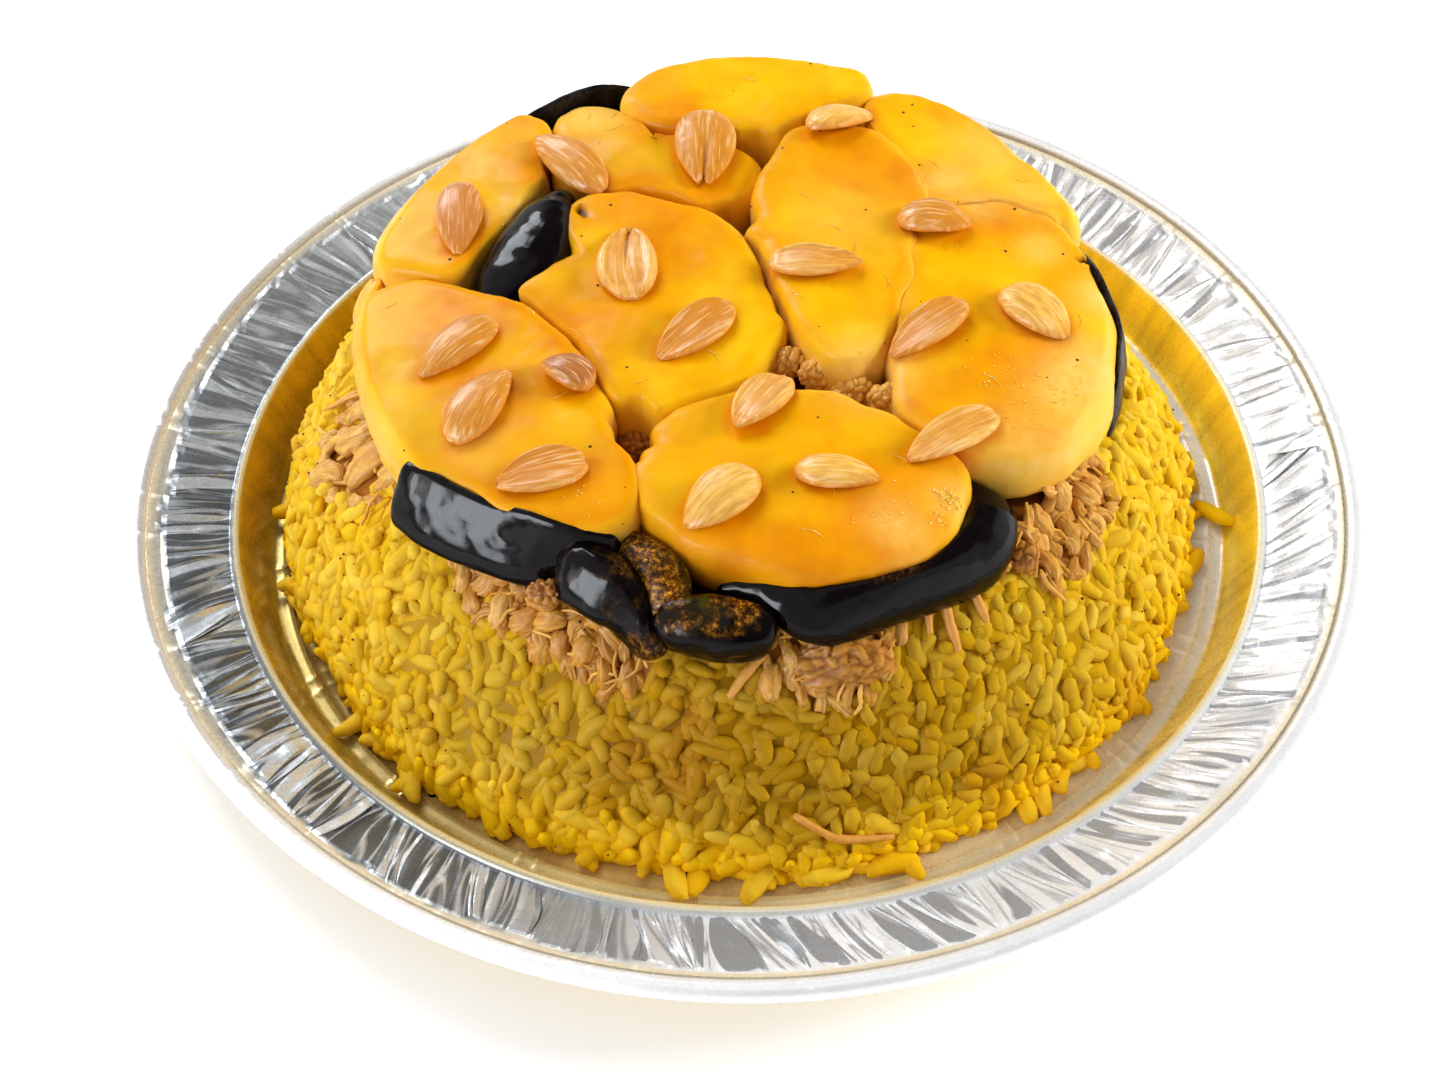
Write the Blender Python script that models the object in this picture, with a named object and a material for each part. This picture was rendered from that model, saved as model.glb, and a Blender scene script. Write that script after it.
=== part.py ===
"""Maqluba, an upside-down rice dish, turned out on its round foil platter.

Frame: metres, +Z up, origin at the middle of the platter's flat underside, front towards -Y.
Sizes below are in millimetres and angles in degrees; MM turns them into metres.
"""

import math

import bmesh
import bpy
import numpy as np
from mathutils import Matrix, Vector

MM = 0.001
GAP = 0.4            # air between two pieces that lie against each other

# Foil platter, drawn thicker than real foil.
FOIL = 1.2           # sheet thickness of the solid
RIM_R = 152.5        # outside of the rolled bead
RIM_H = 21.0         # crest of the rim above the table
CREST_R = 149.5
FLUTE_OUT_R = 147.5
FLUTE_OUT_Z = 19.4
FLUTE_IN_R = 129.5
FLUTE_IN_Z = 13.2
FLUTE_DEPTH = 0.8    # half height of the crimps
FLUTES = 32
BEAD_LOW_Z = 15.6    # lower edge of the rolled bead
FLOOR_R = 120.5      # flat floor, out to the foot of the wall
RING_R = 118.0       # pressed ring in the floor, at the food's edge
PLATTER_STEPS = 64

# Rice mound: radius of its side by height, before the uneven bulges.
RICE_FOOT_Z = FOIL + GAP
RICE_TOP_Z = 37.0
RICE_SIDE = ((RICE_FOOT_Z, 113.5), (6.0, 114.0), (14.0, 110.5), (23.0, 104.5), (31.0, 98.5), (RICE_TOP_Z, 93.5))
RICE_STEPS = 48
RICE_CENTRE = (-1.5, 0.5)
# Bulges of the side: direction, half spread, extra radius at the foot and at the top.
RICE_BULGES = ((180, 42, 0.5, 9.0), (0, 38, 0.5, 3.5), (-118, 24, 1.0, -2.5), (-60, 20, 2.0, 0.5), (90, 60, 0.0, 3.0))

# Shredded chicken between the rice and the aubergine.
CHICKEN_FOOT_Z = RICE_TOP_Z + GAP
CHICKEN_STEPS = 44
CHICKEN_EDGE_R = 86.0    # at its upper edge
CHICKEN_SIDE_R = 90.0    # half way down its side

# The surface that the aubergine lies on: flat in the middle, falling away to the side.
BED_CENTRE = (-2.5, 2.5)
BED_Z = 54.5
BED_TILT = 0.035         # rise towards the back, per mm
BED_FLAT_R = 52.0
BED_FALL = 0.0018        # fall per mm2 beyond the flat part
BED_STEEP_R = 86.0       # from here it falls at BED_STEEP
BED_STEEP = 1.15

# Aubergine slices, the nearest to the front first: each keeps its outline, and those behind are pressed by it.
# centre x, y, half sizes along u and v, direction of u, squareness, taper along u, thickness, lift,
# and how far its near side runs on behind the slice in front of it
SLICES = {
    "aubergine_front": (11.4, -52.5, 37.5, 25.0, -10, 1.9, -0.02, 16.5, 0.4, 0.0),
    "aubergine_front_left": (-58.5, -29.0, 47.5, 24.0, 124, 1.95, -0.08, 17.5, 0.0, 0.0),
    "aubergine_right": (59.5, -8.5, 41.0, 26.0, 94, 2.25, -0.06, 17.5, 0.2, 0.0),
    "aubergine_centre_left": (-20.8, 5.0, 25.8, 35.4, 26, 2.5, -0.07, 17.5, 0.6, 4.0),
    "aubergine_centre_right": (23.2, 21.0, 43.0, 18.8, 90, 2.3, 0.25, 18.5, 0.6, 1.5),
    "aubergine_back_left": (-68.6, 43.5, 32.0, 15.8, 64, 2.6, -0.12, 17.0, 0.5, 3.0),
    "aubergine_back_right": (55.0, 48.0, 16.0, 36.0, 42, 1.9, 0.25, 17.5, 0.6, 6.0),
    "aubergine_back": (1.5, 76.0, 35.5, 15.5, 9, 1.9, -0.05, 18.5, 1.0, 1.0),
    "aubergine_back_mid": (-22.0, 55.0, 30.5, 16.0, -26, 2.5, -0.3, 16.5, 0.0, 5.0),
}
SLICE_STEPS = 24
# Cross-section of a slice from its middle to its rim and back underneath: share of radius, share of thickness.
SLICE_SECTION = ((0.52, 0.985), (0.82, 0.90), (0.955, 0.68), (1.0, 0.36), (0.94, 0.06), (0.55, 0.0))

# Small folded pieces beside the slices: the same numbers as a slice.
FOLDS = {
    "aubergine_fold_left": (-28.5, -77.0, 10.0, 7.5, -30, 2.2, 0.0, 10.5, 0.6),
    "aubergine_fold_flesh": (-15.5, -77.5, 7.5, 6.0, -60, 2.1, 0.0, 9.5, 0.6),
    "aubergine_fold_low": (-7.0, -84.5, 13.0, 6.0, 0, 2.5, 0.0, 9.0, 0.6),
    "aubergine_wedge_left": (-90.5, 17.0, 7.5, 5.5, 80, 2.0, 0.0, 11.0, 0.6),
}
FOLD_STEPS = 14

# Bands of skin that follow a rim. Round which slice (or the bed), from and to which direction, width at the
# start and at the end, height at the start and at the end, how far the band starts below the slice's top.
BANDS = {
    "aubergine_skin_front": ("aubergine_front", -128, 15, 2.4, 15.0, 12.0, 16.5, 4.0),
    "aubergine_skin_gap": ("aubergine_back_left", -84, 18, 5.0, 8.0, 13.5, 13.5, 2.0),
    "aubergine_skin_right": (None, -17, 18, 3.0, 2.8, 16.0, 16.0, 0.0),
    "aubergine_skin_back": (None, 106, 133, 5.5, 5.0, 17.0, 15.0, 0.0),
}
BAND_STEPS = 12

# Almond halves: middle x, y, direction of the pointed end, length, width.
ALMONDS = (
    (-42.8, 47.5, 133, 26.0, 11.5),
    (-9.5, 50.5, -91, 26.0, 15.5),
    (24.5, 59.5, 36, 21.0, 11.0),
    (-68.4, 26.5, -88, 23.0, 11.5),
    (-26.6, 9.5, 93, 25.0, 14.5),
    (-11.3, -13.0, 225, 23.0, 11.5),
    (16.8, 7.5, -6, 22.0, 9.5),
    (45.4, 22.0, -4, 17.5, 11.5),
    (41.8, -13.5, 218, 22.5, 11.0),
    (66.6, -7.5, -46, 19.5, 13.0),
    (45.2, -45.0, 212, 24.0, 10.5),
    (3.5, -34.5, 239, 21.0, 12.0),
    (19.6, -55.4, -5, 18.5, 8.5),
    (-5.2, -62.2, 218, 19.5, 12.5),
    (-43.9, -54.2, 196, 20.5, 11.0),
    (-58.4, -35.0, 62, 23.0, 12.0),
    (-65.1, -17.0, 227, 23.0, 11.0),
    (-39.9, -26.4, 151, 13.0, 11.0),
)
ALMOND_THICK = 5.2
ALMOND_SPAN = 4.0        # slice surface this far below the highest doesn't carry an almond
ALMOND_LEAN = 0.28       # steepest slope of an almond
ALMOND_SECTIONS = 5
ALMOND_POINTS = 6

for obj in list(bpy.data.objects):
    bpy.data.objects.remove(obj, do_unlink=True)


def material(name, colour, roughness, metallic=0.0):
    """A Principled material; the colour is given as sRGB shares."""
    found = bpy.data.materials.get(name)
    if found:
        return found
    made = bpy.data.materials.new(name)
    made.use_nodes = True
    shader = made.node_tree.nodes["Principled BSDF"]
    linear = [c / 12.92 if c <= 0.04045 else ((c + 0.055) / 1.055) ** 2.4 for c in colour]
    shader.inputs["Base Color"].default_value = (*linear, 1.0)
    shader.inputs["Roughness"].default_value = roughness
    shader.inputs["Metallic"].default_value = metallic
    made.diffuse_color = (*linear, 1.0)
    return made


def loft(name, rings, first, last, look, sharp=40):
    """One closed body: a fan from the point `first`, bridged rings, and a fan to the point `last`."""
    bm = bmesh.new()
    loops = [[bm.verts.new(Vector(p) * MM) for p in ring] for ring in rings]
    ends = [bm.verts.new(Vector(p) * MM) for p in (first, last)]
    count = len(loops[0])
    for k in range(count):
        after = (k + 1) % count
        bm.faces.new((ends[0], loops[0][k], loops[0][after]))
        bm.faces.new((ends[1], loops[-1][after], loops[-1][k]))
        for low, high in zip(loops, loops[1:]):
            bm.faces.new((low[k], high[k], high[after], low[after]))
    bmesh.ops.recalc_face_normals(bm, faces=bm.faces)
    mesh = bpy.data.meshes.new(name)
    bm.to_mesh(mesh)
    bm.free()
    mesh.materials.append(look)
    mesh.shade_smooth()
    mesh.set_sharp_from_angle(angle=math.radians(sharp))
    made = bpy.data.objects.new(name, mesh)
    bpy.context.scene.collection.objects.link(made)
    return made


def turn_gap(a, b):
    """Smallest difference of two directions in degrees."""
    return (a - b + 180) % 360 - 180


# ---------------------------------------------------------------- platter

def platter_profile():
    """Radius, height and share of crimp from the floor's middle over the rim and back underneath."""
    upper = [
        (RING_R - 1.6, FOIL, 0), (RING_R, FOIL + 0.35, 0), (RING_R + 1.4, FOIL, 0),
        (FLOOR_R, FOIL, 0), (123.0, 3.0, 0), (126.6, 11.0, 0), (FLUTE_IN_R - 1.2, FLUTE_IN_Z + 0.9, 0),
        (FLUTE_IN_R + 1.5, FLUTE_IN_Z, 0.7), (0.5 * (FLUTE_IN_R + FLUTE_OUT_R), 0.5 * (FLUTE_IN_Z + FLUTE_OUT_Z), 1),
        (FLUTE_OUT_R, FLUTE_OUT_Z, 0.7), (CREST_R, RIM_H, 0), (RIM_R - 0.9, RIM_H - 1.0, 0), (RIM_R, RIM_H - 2.9, 0),
    ]
    under = [
        (RIM_R - 0.6, BEAD_LOW_Z, 0), (CREST_R - 0.2, BEAD_LOW_Z + 0.4, 0), (FLUTE_OUT_R, FLUTE_OUT_Z - 1.5, 0.7),
        (0.5 * (FLUTE_IN_R + FLUTE_OUT_R), 0.5 * (FLUTE_IN_Z + FLUTE_OUT_Z) - FOIL, 1),
        (FLUTE_IN_R + 1.5, FLUTE_IN_Z - FOIL, 0.7), (127.6, 10.2, 0), (124.4, 2.6, 0), (FLOOR_R + 1.0, 0.0, 0),
    ]
    return upper + under


def make_platter():
    look = material("foil", (0.80, 0.80, 0.80), 0.22, 1.0)
    rings = []
    for radius, height, crimp in platter_profile():
        ring = []
        for k in range(PLATTER_STEPS):
            turn = 2 * math.pi * k / PLATTER_STEPS
            wave = FLUTE_DEPTH * crimp * math.cos(FLUTES * turn)
            ring.append((radius * math.cos(turn), radius * math.sin(turn), height + wave))
        rings.append(ring)
    return loft("platter", rings, (0, 0, FOIL), (0, 0, 0), look, sharp=30)


# ---------------------------------------------------------------- rice and chicken

def lumps(turn, height, seed, count=5, low=3, high=17):
    """Smooth uneven value, about -1 to 1, from a few seeded waves round the dish."""
    source = np.random.default_rng(seed)
    total = 0.0
    for _ in range(count):
        waves = int(source.integers(low, high))
        total += math.sin(waves * turn + source.uniform(0, 6.28) + height * source.uniform(0.02, 0.12)) / count ** 0.5
    return total


def rice_radius(turn, height):
    heights, radii = zip(*RICE_SIDE)
    radius = float(np.interp(height, heights, radii))
    share = (height - RICE_FOOT_Z) / (RICE_TOP_Z - RICE_FOOT_Z)
    for direction, spread, foot, top in RICE_BULGES:
        weight = math.exp(-(turn_gap(math.degrees(turn), direction) / spread) ** 2)
        radius += weight * (foot + (top - foot) * share)
    return radius + (2.0 - 0.9 * share) * lumps(turn, height, 11)


def make_rice():
    look = material("rice", (0.85, 0.70, 0.15), 0.5)
    rings = [[(RICE_CENTRE[0] + 60 * math.cos(2 * math.pi * k / RICE_STEPS),
               RICE_CENTRE[1] + 60 * math.sin(2 * math.pi * k / RICE_STEPS), RICE_FOOT_Z) for k in range(RICE_STEPS)]]
    for height, _ in RICE_SIDE:
        ring = []
        for k in range(RICE_STEPS):
            turn = 2 * math.pi * k / RICE_STEPS
            radius = rice_radius(turn, height)
            ring.append((RICE_CENTRE[0] + radius * math.cos(turn), RICE_CENTRE[1] + radius * math.sin(turn), height))
        rings.append(ring)
    return loft("rice", rings, (*RICE_CENTRE, RICE_FOOT_Z), (*RICE_CENTRE, RICE_TOP_Z), look, sharp=60)


def bed(x, y):
    """Height of the surface that the aubergine lies on."""
    reach = math.hypot(x - BED_CENTRE[0], y - BED_CENTRE[1])
    bent = max(0.0, min(reach, BED_STEEP_R) - BED_FLAT_R)
    return BED_Z + BED_TILT * y - BED_FALL * bent * bent - BED_STEEP * max(0.0, reach - BED_STEEP_R)


def make_chicken():
    look = material("chicken", (0.84, 0.66, 0.42), 0.6)
    rings = []

    def ring(radius_of, height_of):
        points = []
        for k in range(CHICKEN_STEPS):
            turn = 2 * math.pi * k / CHICKEN_STEPS
            radius = radius_of(turn)
            x = BED_CENTRE[0] + radius * math.cos(turn)
            y = BED_CENTRE[1] + radius * math.sin(turn)
            points.append((x, y, height_of(x, y)))
        return points

    def ragged(turn):
        return 1.5 * lumps(turn, 0, 23, 6, 5, 15)

    rings.append(ring(lambda t: 45.0, lambda x, y: CHICKEN_FOOT_Z))
    rings.append(ring(lambda t: CHICKEN_SIDE_R - 2.5 + 0.6 * ragged(t), lambda x, y: CHICKEN_FOOT_Z))
    rings.append(ring(lambda t: CHICKEN_SIDE_R - 0.5 + 0.6 * ragged(t), lambda x, y: CHICKEN_FOOT_Z + 1.6))
    rings.append(ring(lambda t: CHICKEN_EDGE_R + 0.4 * ragged(t), lambda x, y: bed(x, y) - 1.6))
    rings.append(ring(lambda t: CHICKEN_EDGE_R - 7.0, lambda x, y: bed(x, y) - 1.2))
    rings.append(ring(lambda t: 0.5 * (CHICKEN_EDGE_R + BED_FLAT_R) - 2.0, lambda x, y: bed(x, y) - 0.9))
    rings.append(ring(lambda t: BED_FLAT_R - 8.0, lambda x, y: bed(x, y) - 0.6))
    return loft("chicken", rings, (*BED_CENTRE, CHICKEN_FOOT_Z), (*BED_CENTRE, bed(*BED_CENTRE) - 0.6), look, sharp=60)


# ---------------------------------------------------------------- aubergine

def plain_radius(spec, turn):
    """Distance from a slice's middle to its rim before its neighbours press on it."""
    cx, cy, half_u, half_v, direction, square, taper = spec[:7]
    local = turn - math.radians(direction)
    low, high = 0.0, 2.0 * max(half_u, half_v)
    for _ in range(30):
        middle = 0.5 * (low + high)
        u, v = middle * math.cos(local), middle * math.sin(local)
        width = max(0.2 * half_v, half_v * (1 + taper * u / half_u))
        outside = abs(u / half_u) ** square + abs(v / width) ** square > 1
        low, high = (low, middle) if outside else (middle, high)
    return low


def too_near(point, outline, margin):
    """Whether a plan point lies in a closed outline or within the margin of it."""
    ends = np.roll(outline, -1, axis=0)
    along = ends - outline
    share = np.clip(((point - outline) * along).sum(1) / (along ** 2).sum(1), 0, 1)
    nearest = np.hypot(*(outline + along * share[:, None] - point).T).min()
    crosses = (outline[:, 1] > point[1]) != (ends[:, 1] > point[1])
    with np.errstate(divide="ignore", invalid="ignore"):
        x_at = outline[:, 0] + (point[1] - outline[:, 1]) * along[:, 0] / along[:, 1]
    inside = np.count_nonzero(crosses & (point[0] < x_at)) % 2 == 1
    return inside or nearest < margin


def pressed_outline(spec, steps, others, margin=1.0):
    """A slice's rim in plan, drawn in where it meets the pieces that lie above or before it."""
    middle = np.array(spec[:2])
    source = np.random.default_rng(int(abs(spec[0] * 7 + spec[1] * 13)) + 5)
    phase = source.uniform(0, 6.28, 2)
    reach = []
    for k in range(steps):
        turn = 2 * math.pi * k / steps
        wave = 1 + 0.012 * math.sin(3 * turn + phase[0]) + 0.012 * math.sin(5 * turn + phase[1])
        near_side = max(0.0, -math.sin(turn)) * (spec[9] if len(spec) > 9 else 0.0)
        radius = plain_radius(spec, turn) * wave + near_side
        ray = np.array((math.cos(turn), math.sin(turn)))
        while radius > 2.0 and any(too_near(middle + ray * radius, other, margin) for other in others):
            radius -= 0.4
        reach.append(radius)
    reach = np.array(reach)
    turns = np.arange(steps) * 2 * math.pi / steps
    rays = np.c_[np.cos(turns), np.sin(turns)]
    for _ in range(60):
        # No chord between two rim points may cut a corner of a neighbour.
        rim = middle + rays * reach[:, None]
        chords = 0.5 * (rim + np.roll(rim, -1, axis=0))
        cut = [k for k in range(steps) if any(too_near(chords[k], other, 0.8 * margin) for other in others)]
        if not cut:
            break
        for k in set(cut) | {(k + 1) % steps for k in cut}:
            reach[k] -= 0.4
    for _ in range(2):
        reach = np.minimum(reach, 0.25 * np.roll(reach, 1) + 0.5 * reach + 0.25 * np.roll(reach, -1) + 0.15)
    return reach, middle + rays * reach[:, None]


def section_height(share):
    """Height of a slice's upper side, as a share of its thickness, at a share of its radius."""
    shares, heights = zip(*((0.0, 1.0),) + SLICE_SECTION[:4])
    return float(np.interp(share, shares, heights))


def make_slab(name, spec, steps, others, look):
    thick, lift = spec[7:9]
    reach, outline = pressed_outline(spec, steps, others)
    middle = np.array(spec[:2])
    rings = []
    for share, height in SLICE_SECTION:
        plan = middle + (outline - middle) * share
        rings.append([(x, y, bed(x, y) + GAP + lift + thick * height) for x, y in plan])
    top = bed(*middle) + GAP + lift + thick
    loft(name, rings, (*middle, top), (*middle, bed(*middle) + GAP + lift), look)
    return reach, outline


def make_slices():
    flesh = material("aubergine_flesh", (0.97, 0.74, 0.13), 0.25)
    outlines, reaches = {}, {}
    for name, spec in SLICES.items():
        reaches[name], outlines[name] = make_slab(name, spec, SLICE_STEPS, list(outlines.values()), flesh)
    return reaches, outlines


def top_of_slices(x, y, reaches):
    """Height of the upper side of whichever slice lies at this plan point."""
    highest = bed(x, y)
    for name, reach in reaches.items():
        spec = SLICES[name]
        dx, dy = x - spec[0], y - spec[1]
        turn = math.atan2(dy, dx) % (2 * math.pi)
        turns = np.arange(SLICE_STEPS + 1) * 2 * math.pi / SLICE_STEPS
        radius = float(np.interp(turn, turns, np.append(reach, reach[0])))
        share = math.hypot(dx, dy) / radius
        if share < 1.0:
            highest = max(highest, bed(x, y) + GAP + spec[8] + spec[7] * section_height(share))
    return highest


def make_band(name, values, outlines, blockers, look):
    """A strip of skin along part of a slice's rim, or round the bed, tapered at both ends."""
    around, start, end, wide_a, wide_b, tall_a, tall_b, below = values
    middle = np.array(SLICES[around][:2]) if around else np.array(BED_CENTRE)
    own = outlines[around] if around else None
    sections = []
    for k in range(BAND_STEPS + 1):
        share = k / BAND_STEPS
        turn = math.radians(start + (end - start) * share)
        ray = np.array((math.cos(turn), math.sin(turn)))
        inner = 84.0 if own is None else 5.0
        tests = list(blockers.values()) if own is None else [own]
        while any(too_near(middle + ray * inner, other, 1.0) for other in tests):
            inner += 0.3
        ease = math.sin(math.pi * min(1, max(0, 0.04 + 0.92 * share))) ** 0.55
        width = (wide_a + (wide_b - wide_a) * share) * ease
        outer = inner + max(0.9, width)
        if own is not None:
            while outer > inner + 1.2 and math.dist(middle + ray * outer, BED_CENTRE) > BED_STEEP_R + 3.5:
                outer -= 0.3
        while outer > inner + 0.8 and any(too_near(middle + ray * outer, other, 1.0) for key, other in blockers.items()
                                          if key != around):
            outer -= 0.3
        tall = (tall_a + (tall_b - tall_a) * share) * (0.45 + 0.55 * ease)
        inside, outside = middle + ray * inner, middle + ray * outer
        half = 0.5 * (inside + outside)
        low = max(bed(*inside), bed(*outside)) + GAP + 0.2
        low_out = bed(*outside) + GAP + 0.2
        high = low + tall - below
        sections.append([
            (*inside, low), (*half, max(bed(*half) + GAP + 0.2, 0.5 * (low + low_out))), (*outside, low_out + 0.1 * tall),
            (*(outside + ray * 0.25), 0.5 * (low_out + high)), (*half, high - 0.02 * tall), (*inside, high),
        ])
    bm = bmesh.new()
    loops = [[bm.verts.new(Vector(p) * MM) for p in section] for section in sections]
    for a, b in zip(loops, loops[1:]):
        for k in range(6):
            bm.faces.new((a[k], a[(k + 1) % 6], b[(k + 1) % 6], b[k]))
    for loop in (loops[0], loops[-1]):
        middle_point = bm.verts.new(sum((v.co for v in loop), Vector()) / 6)
        for k in range(6):
            bm.faces.new((loop[k], loop[(k + 1) % 6], middle_point))
    bmesh.ops.recalc_face_normals(bm, faces=bm.faces)
    mesh = bpy.data.meshes.new(name)
    bm.to_mesh(mesh)
    bm.free()
    mesh.materials.append(look)
    mesh.shade_smooth()
    mesh.set_sharp_from_angle(angle=math.radians(50))
    bpy.context.scene.collection.objects.link(bpy.data.objects.new(name, mesh))
    return np.array([middle + (np.array(s[2][:2]) - middle) for s in sections] + [np.array(s[0][:2]) for s in reversed(sections)])


# ---------------------------------------------------------------- almonds

def make_almond(name, values, reaches, look):
    x, y, direction, length, width = values
    turn = math.radians(direction)
    along, across = Vector((math.cos(turn), math.sin(turn))), Vector((-math.sin(turn), math.cos(turn)))

    def top(u, v):
        spot = Vector((x, y)) + along * u + across * v
        return top_of_slices(spot.x, spot.y, reaches)

    # The almond leans as the slices under it do, and rests on their highest point; gaps between slices don't count.
    spots = [(0.5 * length * a, 0.5 * width * b * (1 - 0.7 * abs(a)))
             for a in np.linspace(-1, 1, 9) for b in (-1, -0.5, 0, 0.5, 1)]
    heights = np.array([top(u, v) for u, v in spots])
    grid = np.c_[np.array(spots), np.ones(len(spots))]
    held = heights > heights.max() - ALMOND_SPAN
    rise_u, rise_v, _ = np.linalg.lstsq(grid[held], heights[held], rcond=None)[0]
    rise_u, rise_v = (float(np.clip(rise, -ALMOND_LEAN, ALMOND_LEAN)) for rise in (rise_u, rise_v))
    base = float((heights - grid[:, 0] * rise_u - grid[:, 1] * rise_v).max())
    axis_u = Vector((along.x, along.y, rise_u)).normalized()
    axis_w = axis_u.cross(Vector((across.x, across.y, rise_v))).normalized()
    axis_v = axis_w.cross(axis_u).normalized()
    frame = Matrix((axis_u, axis_v, axis_w)).transposed()
    rings = []
    for k in range(ALMOND_SECTIONS):
        # 0 is the round end, 1 the pointed end
        share = (k + 0.55) / (ALMOND_SECTIONS + 0.1)
        u = length * (share - 0.5)
        half = 0.5 * width * (math.sin(math.pi * share ** 0.82) ** 0.72)
        thick = ALMOND_THICK * (math.sin(math.pi * share ** 0.85) ** 0.6)
        ring = []
        for j in range(ALMOND_POINTS):
            angle = math.radians(30) + 2 * math.pi * j / ALMOND_POINTS
            v, w = half * math.cos(angle) / math.cos(math.radians(30)), math.sin(angle)
            ring.append((u, v, thick * (0.35 + 0.65 * w) if w > 0 else 0.35 * thick * (1 + w)))
        rings.append(ring)
    lifted = Vector((x, y, base + GAP))

    def place(point):
        return lifted + frame @ Vector(point)

    loft(name, [[place(p) for p in ring] for ring in rings],
         place((-0.5 * length, 0, 0.3 * ALMOND_THICK)), place((0.5 * length, 0, 0.25 * ALMOND_THICK)), look)


def main():
    make_platter()
    make_rice()
    make_chicken()
    reaches, outlines = make_slices()
    skin = material("aubergine_skin", (0.06, 0.04, 0.06), 0.15)
    flesh = material("aubergine_flesh", (0.97, 0.74, 0.13), 0.25)
    placed = dict(outlines)
    for name, values in BANDS.items():
        placed[name] = make_band(name, values, outlines, placed, skin)
    for name, spec in FOLDS.items():
        look = flesh if "wedge" in name or "flesh" in name else skin
        _, placed[name] = make_slab(name, spec, FOLD_STEPS, list(placed.values()), look)
    nut = material("almond", (0.91, 0.72, 0.48), 0.35)
    for number, values in enumerate(ALMONDS, 1):
        make_almond(f"almond_{number:02d}", values, reaches, nut)


main()
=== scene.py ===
"""The looks of a maqluba on its round foil platter, in the frame of the CAD.

Frame: metres, +Z up, origin at the middle of the platter's flat underside, front towards -Y.
Sizes below are in millimetres and angles in degrees; MM turns them into metres.
"""

import math

import bpy
import numpy as np
from mathutils import Matrix, Vector
from mathutils.bvhtree import BVHTree


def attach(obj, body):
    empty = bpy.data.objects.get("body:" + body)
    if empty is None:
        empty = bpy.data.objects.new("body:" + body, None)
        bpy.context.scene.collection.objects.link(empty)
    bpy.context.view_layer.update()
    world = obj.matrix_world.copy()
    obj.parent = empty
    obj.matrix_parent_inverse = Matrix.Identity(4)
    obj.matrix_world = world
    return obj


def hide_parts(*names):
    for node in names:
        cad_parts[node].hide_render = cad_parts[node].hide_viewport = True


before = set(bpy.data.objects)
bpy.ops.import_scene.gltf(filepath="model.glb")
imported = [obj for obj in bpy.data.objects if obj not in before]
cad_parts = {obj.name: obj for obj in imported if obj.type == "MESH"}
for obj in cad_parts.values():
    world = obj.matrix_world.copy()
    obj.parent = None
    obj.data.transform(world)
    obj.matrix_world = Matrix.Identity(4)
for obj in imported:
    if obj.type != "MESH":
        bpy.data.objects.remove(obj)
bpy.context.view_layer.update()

MM = 0.001
GAP = 0.4            # air between two pieces that lie against each other

# Foil platter, drawn thicker than real foil.
FOIL = 1.2           # sheet thickness of the solid
RIM_R = 152.5        # outside of the rolled bead
RIM_H = 21.0         # crest of the rim above the table
CREST_R = 149.5
FLUTE_OUT_R = 147.5
FLUTE_OUT_Z = 19.4
FLUTE_IN_R = 129.5
FLUTE_IN_Z = 13.2
FLUTE_DEPTH = 0.8    # half height of the crimps
FLUTES = 32
BEAD_LOW_Z = 15.6    # lower edge of the rolled bead
FLOOR_R = 120.5      # flat floor, out to the foot of the wall
RING_R = 118.0       # pressed ring in the floor, at the food's edge
PLATTER_STEPS = 64

# Rice mound: radius of its side by height, before the uneven bulges.
RICE_FOOT_Z = FOIL + GAP
RICE_TOP_Z = 37.0
RICE_SIDE = ((RICE_FOOT_Z, 113.5), (6.0, 114.0), (14.0, 110.5), (23.0, 104.5), (31.0, 98.5), (RICE_TOP_Z, 93.5))
RICE_STEPS = 48
RICE_CENTRE = (-1.5, 0.5)
# Bulges of the side: direction, half spread, extra radius at the foot and at the top.
RICE_BULGES = ((180, 42, 0.5, 9.0), (0, 38, 0.5, 3.5), (-118, 24, 1.0, -2.5), (-60, 20, 2.0, 0.5), (90, 60, 0.0, 3.0))

# Shredded chicken between the rice and the aubergine.
CHICKEN_FOOT_Z = RICE_TOP_Z + GAP
CHICKEN_STEPS = 44
CHICKEN_EDGE_R = 86.0    # at its upper edge
CHICKEN_SIDE_R = 90.0    # half way down its side

# The surface that the aubergine lies on: flat in the middle, falling away to the side.
BED_CENTRE = (-2.5, 2.5)
BED_Z = 54.5
BED_TILT = 0.035         # rise towards the back, per mm
BED_FLAT_R = 52.0
BED_FALL = 0.0018        # fall per mm2 beyond the flat part
BED_STEEP_R = 86.0       # from here it falls at BED_STEEP
BED_STEEP = 1.15

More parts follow.
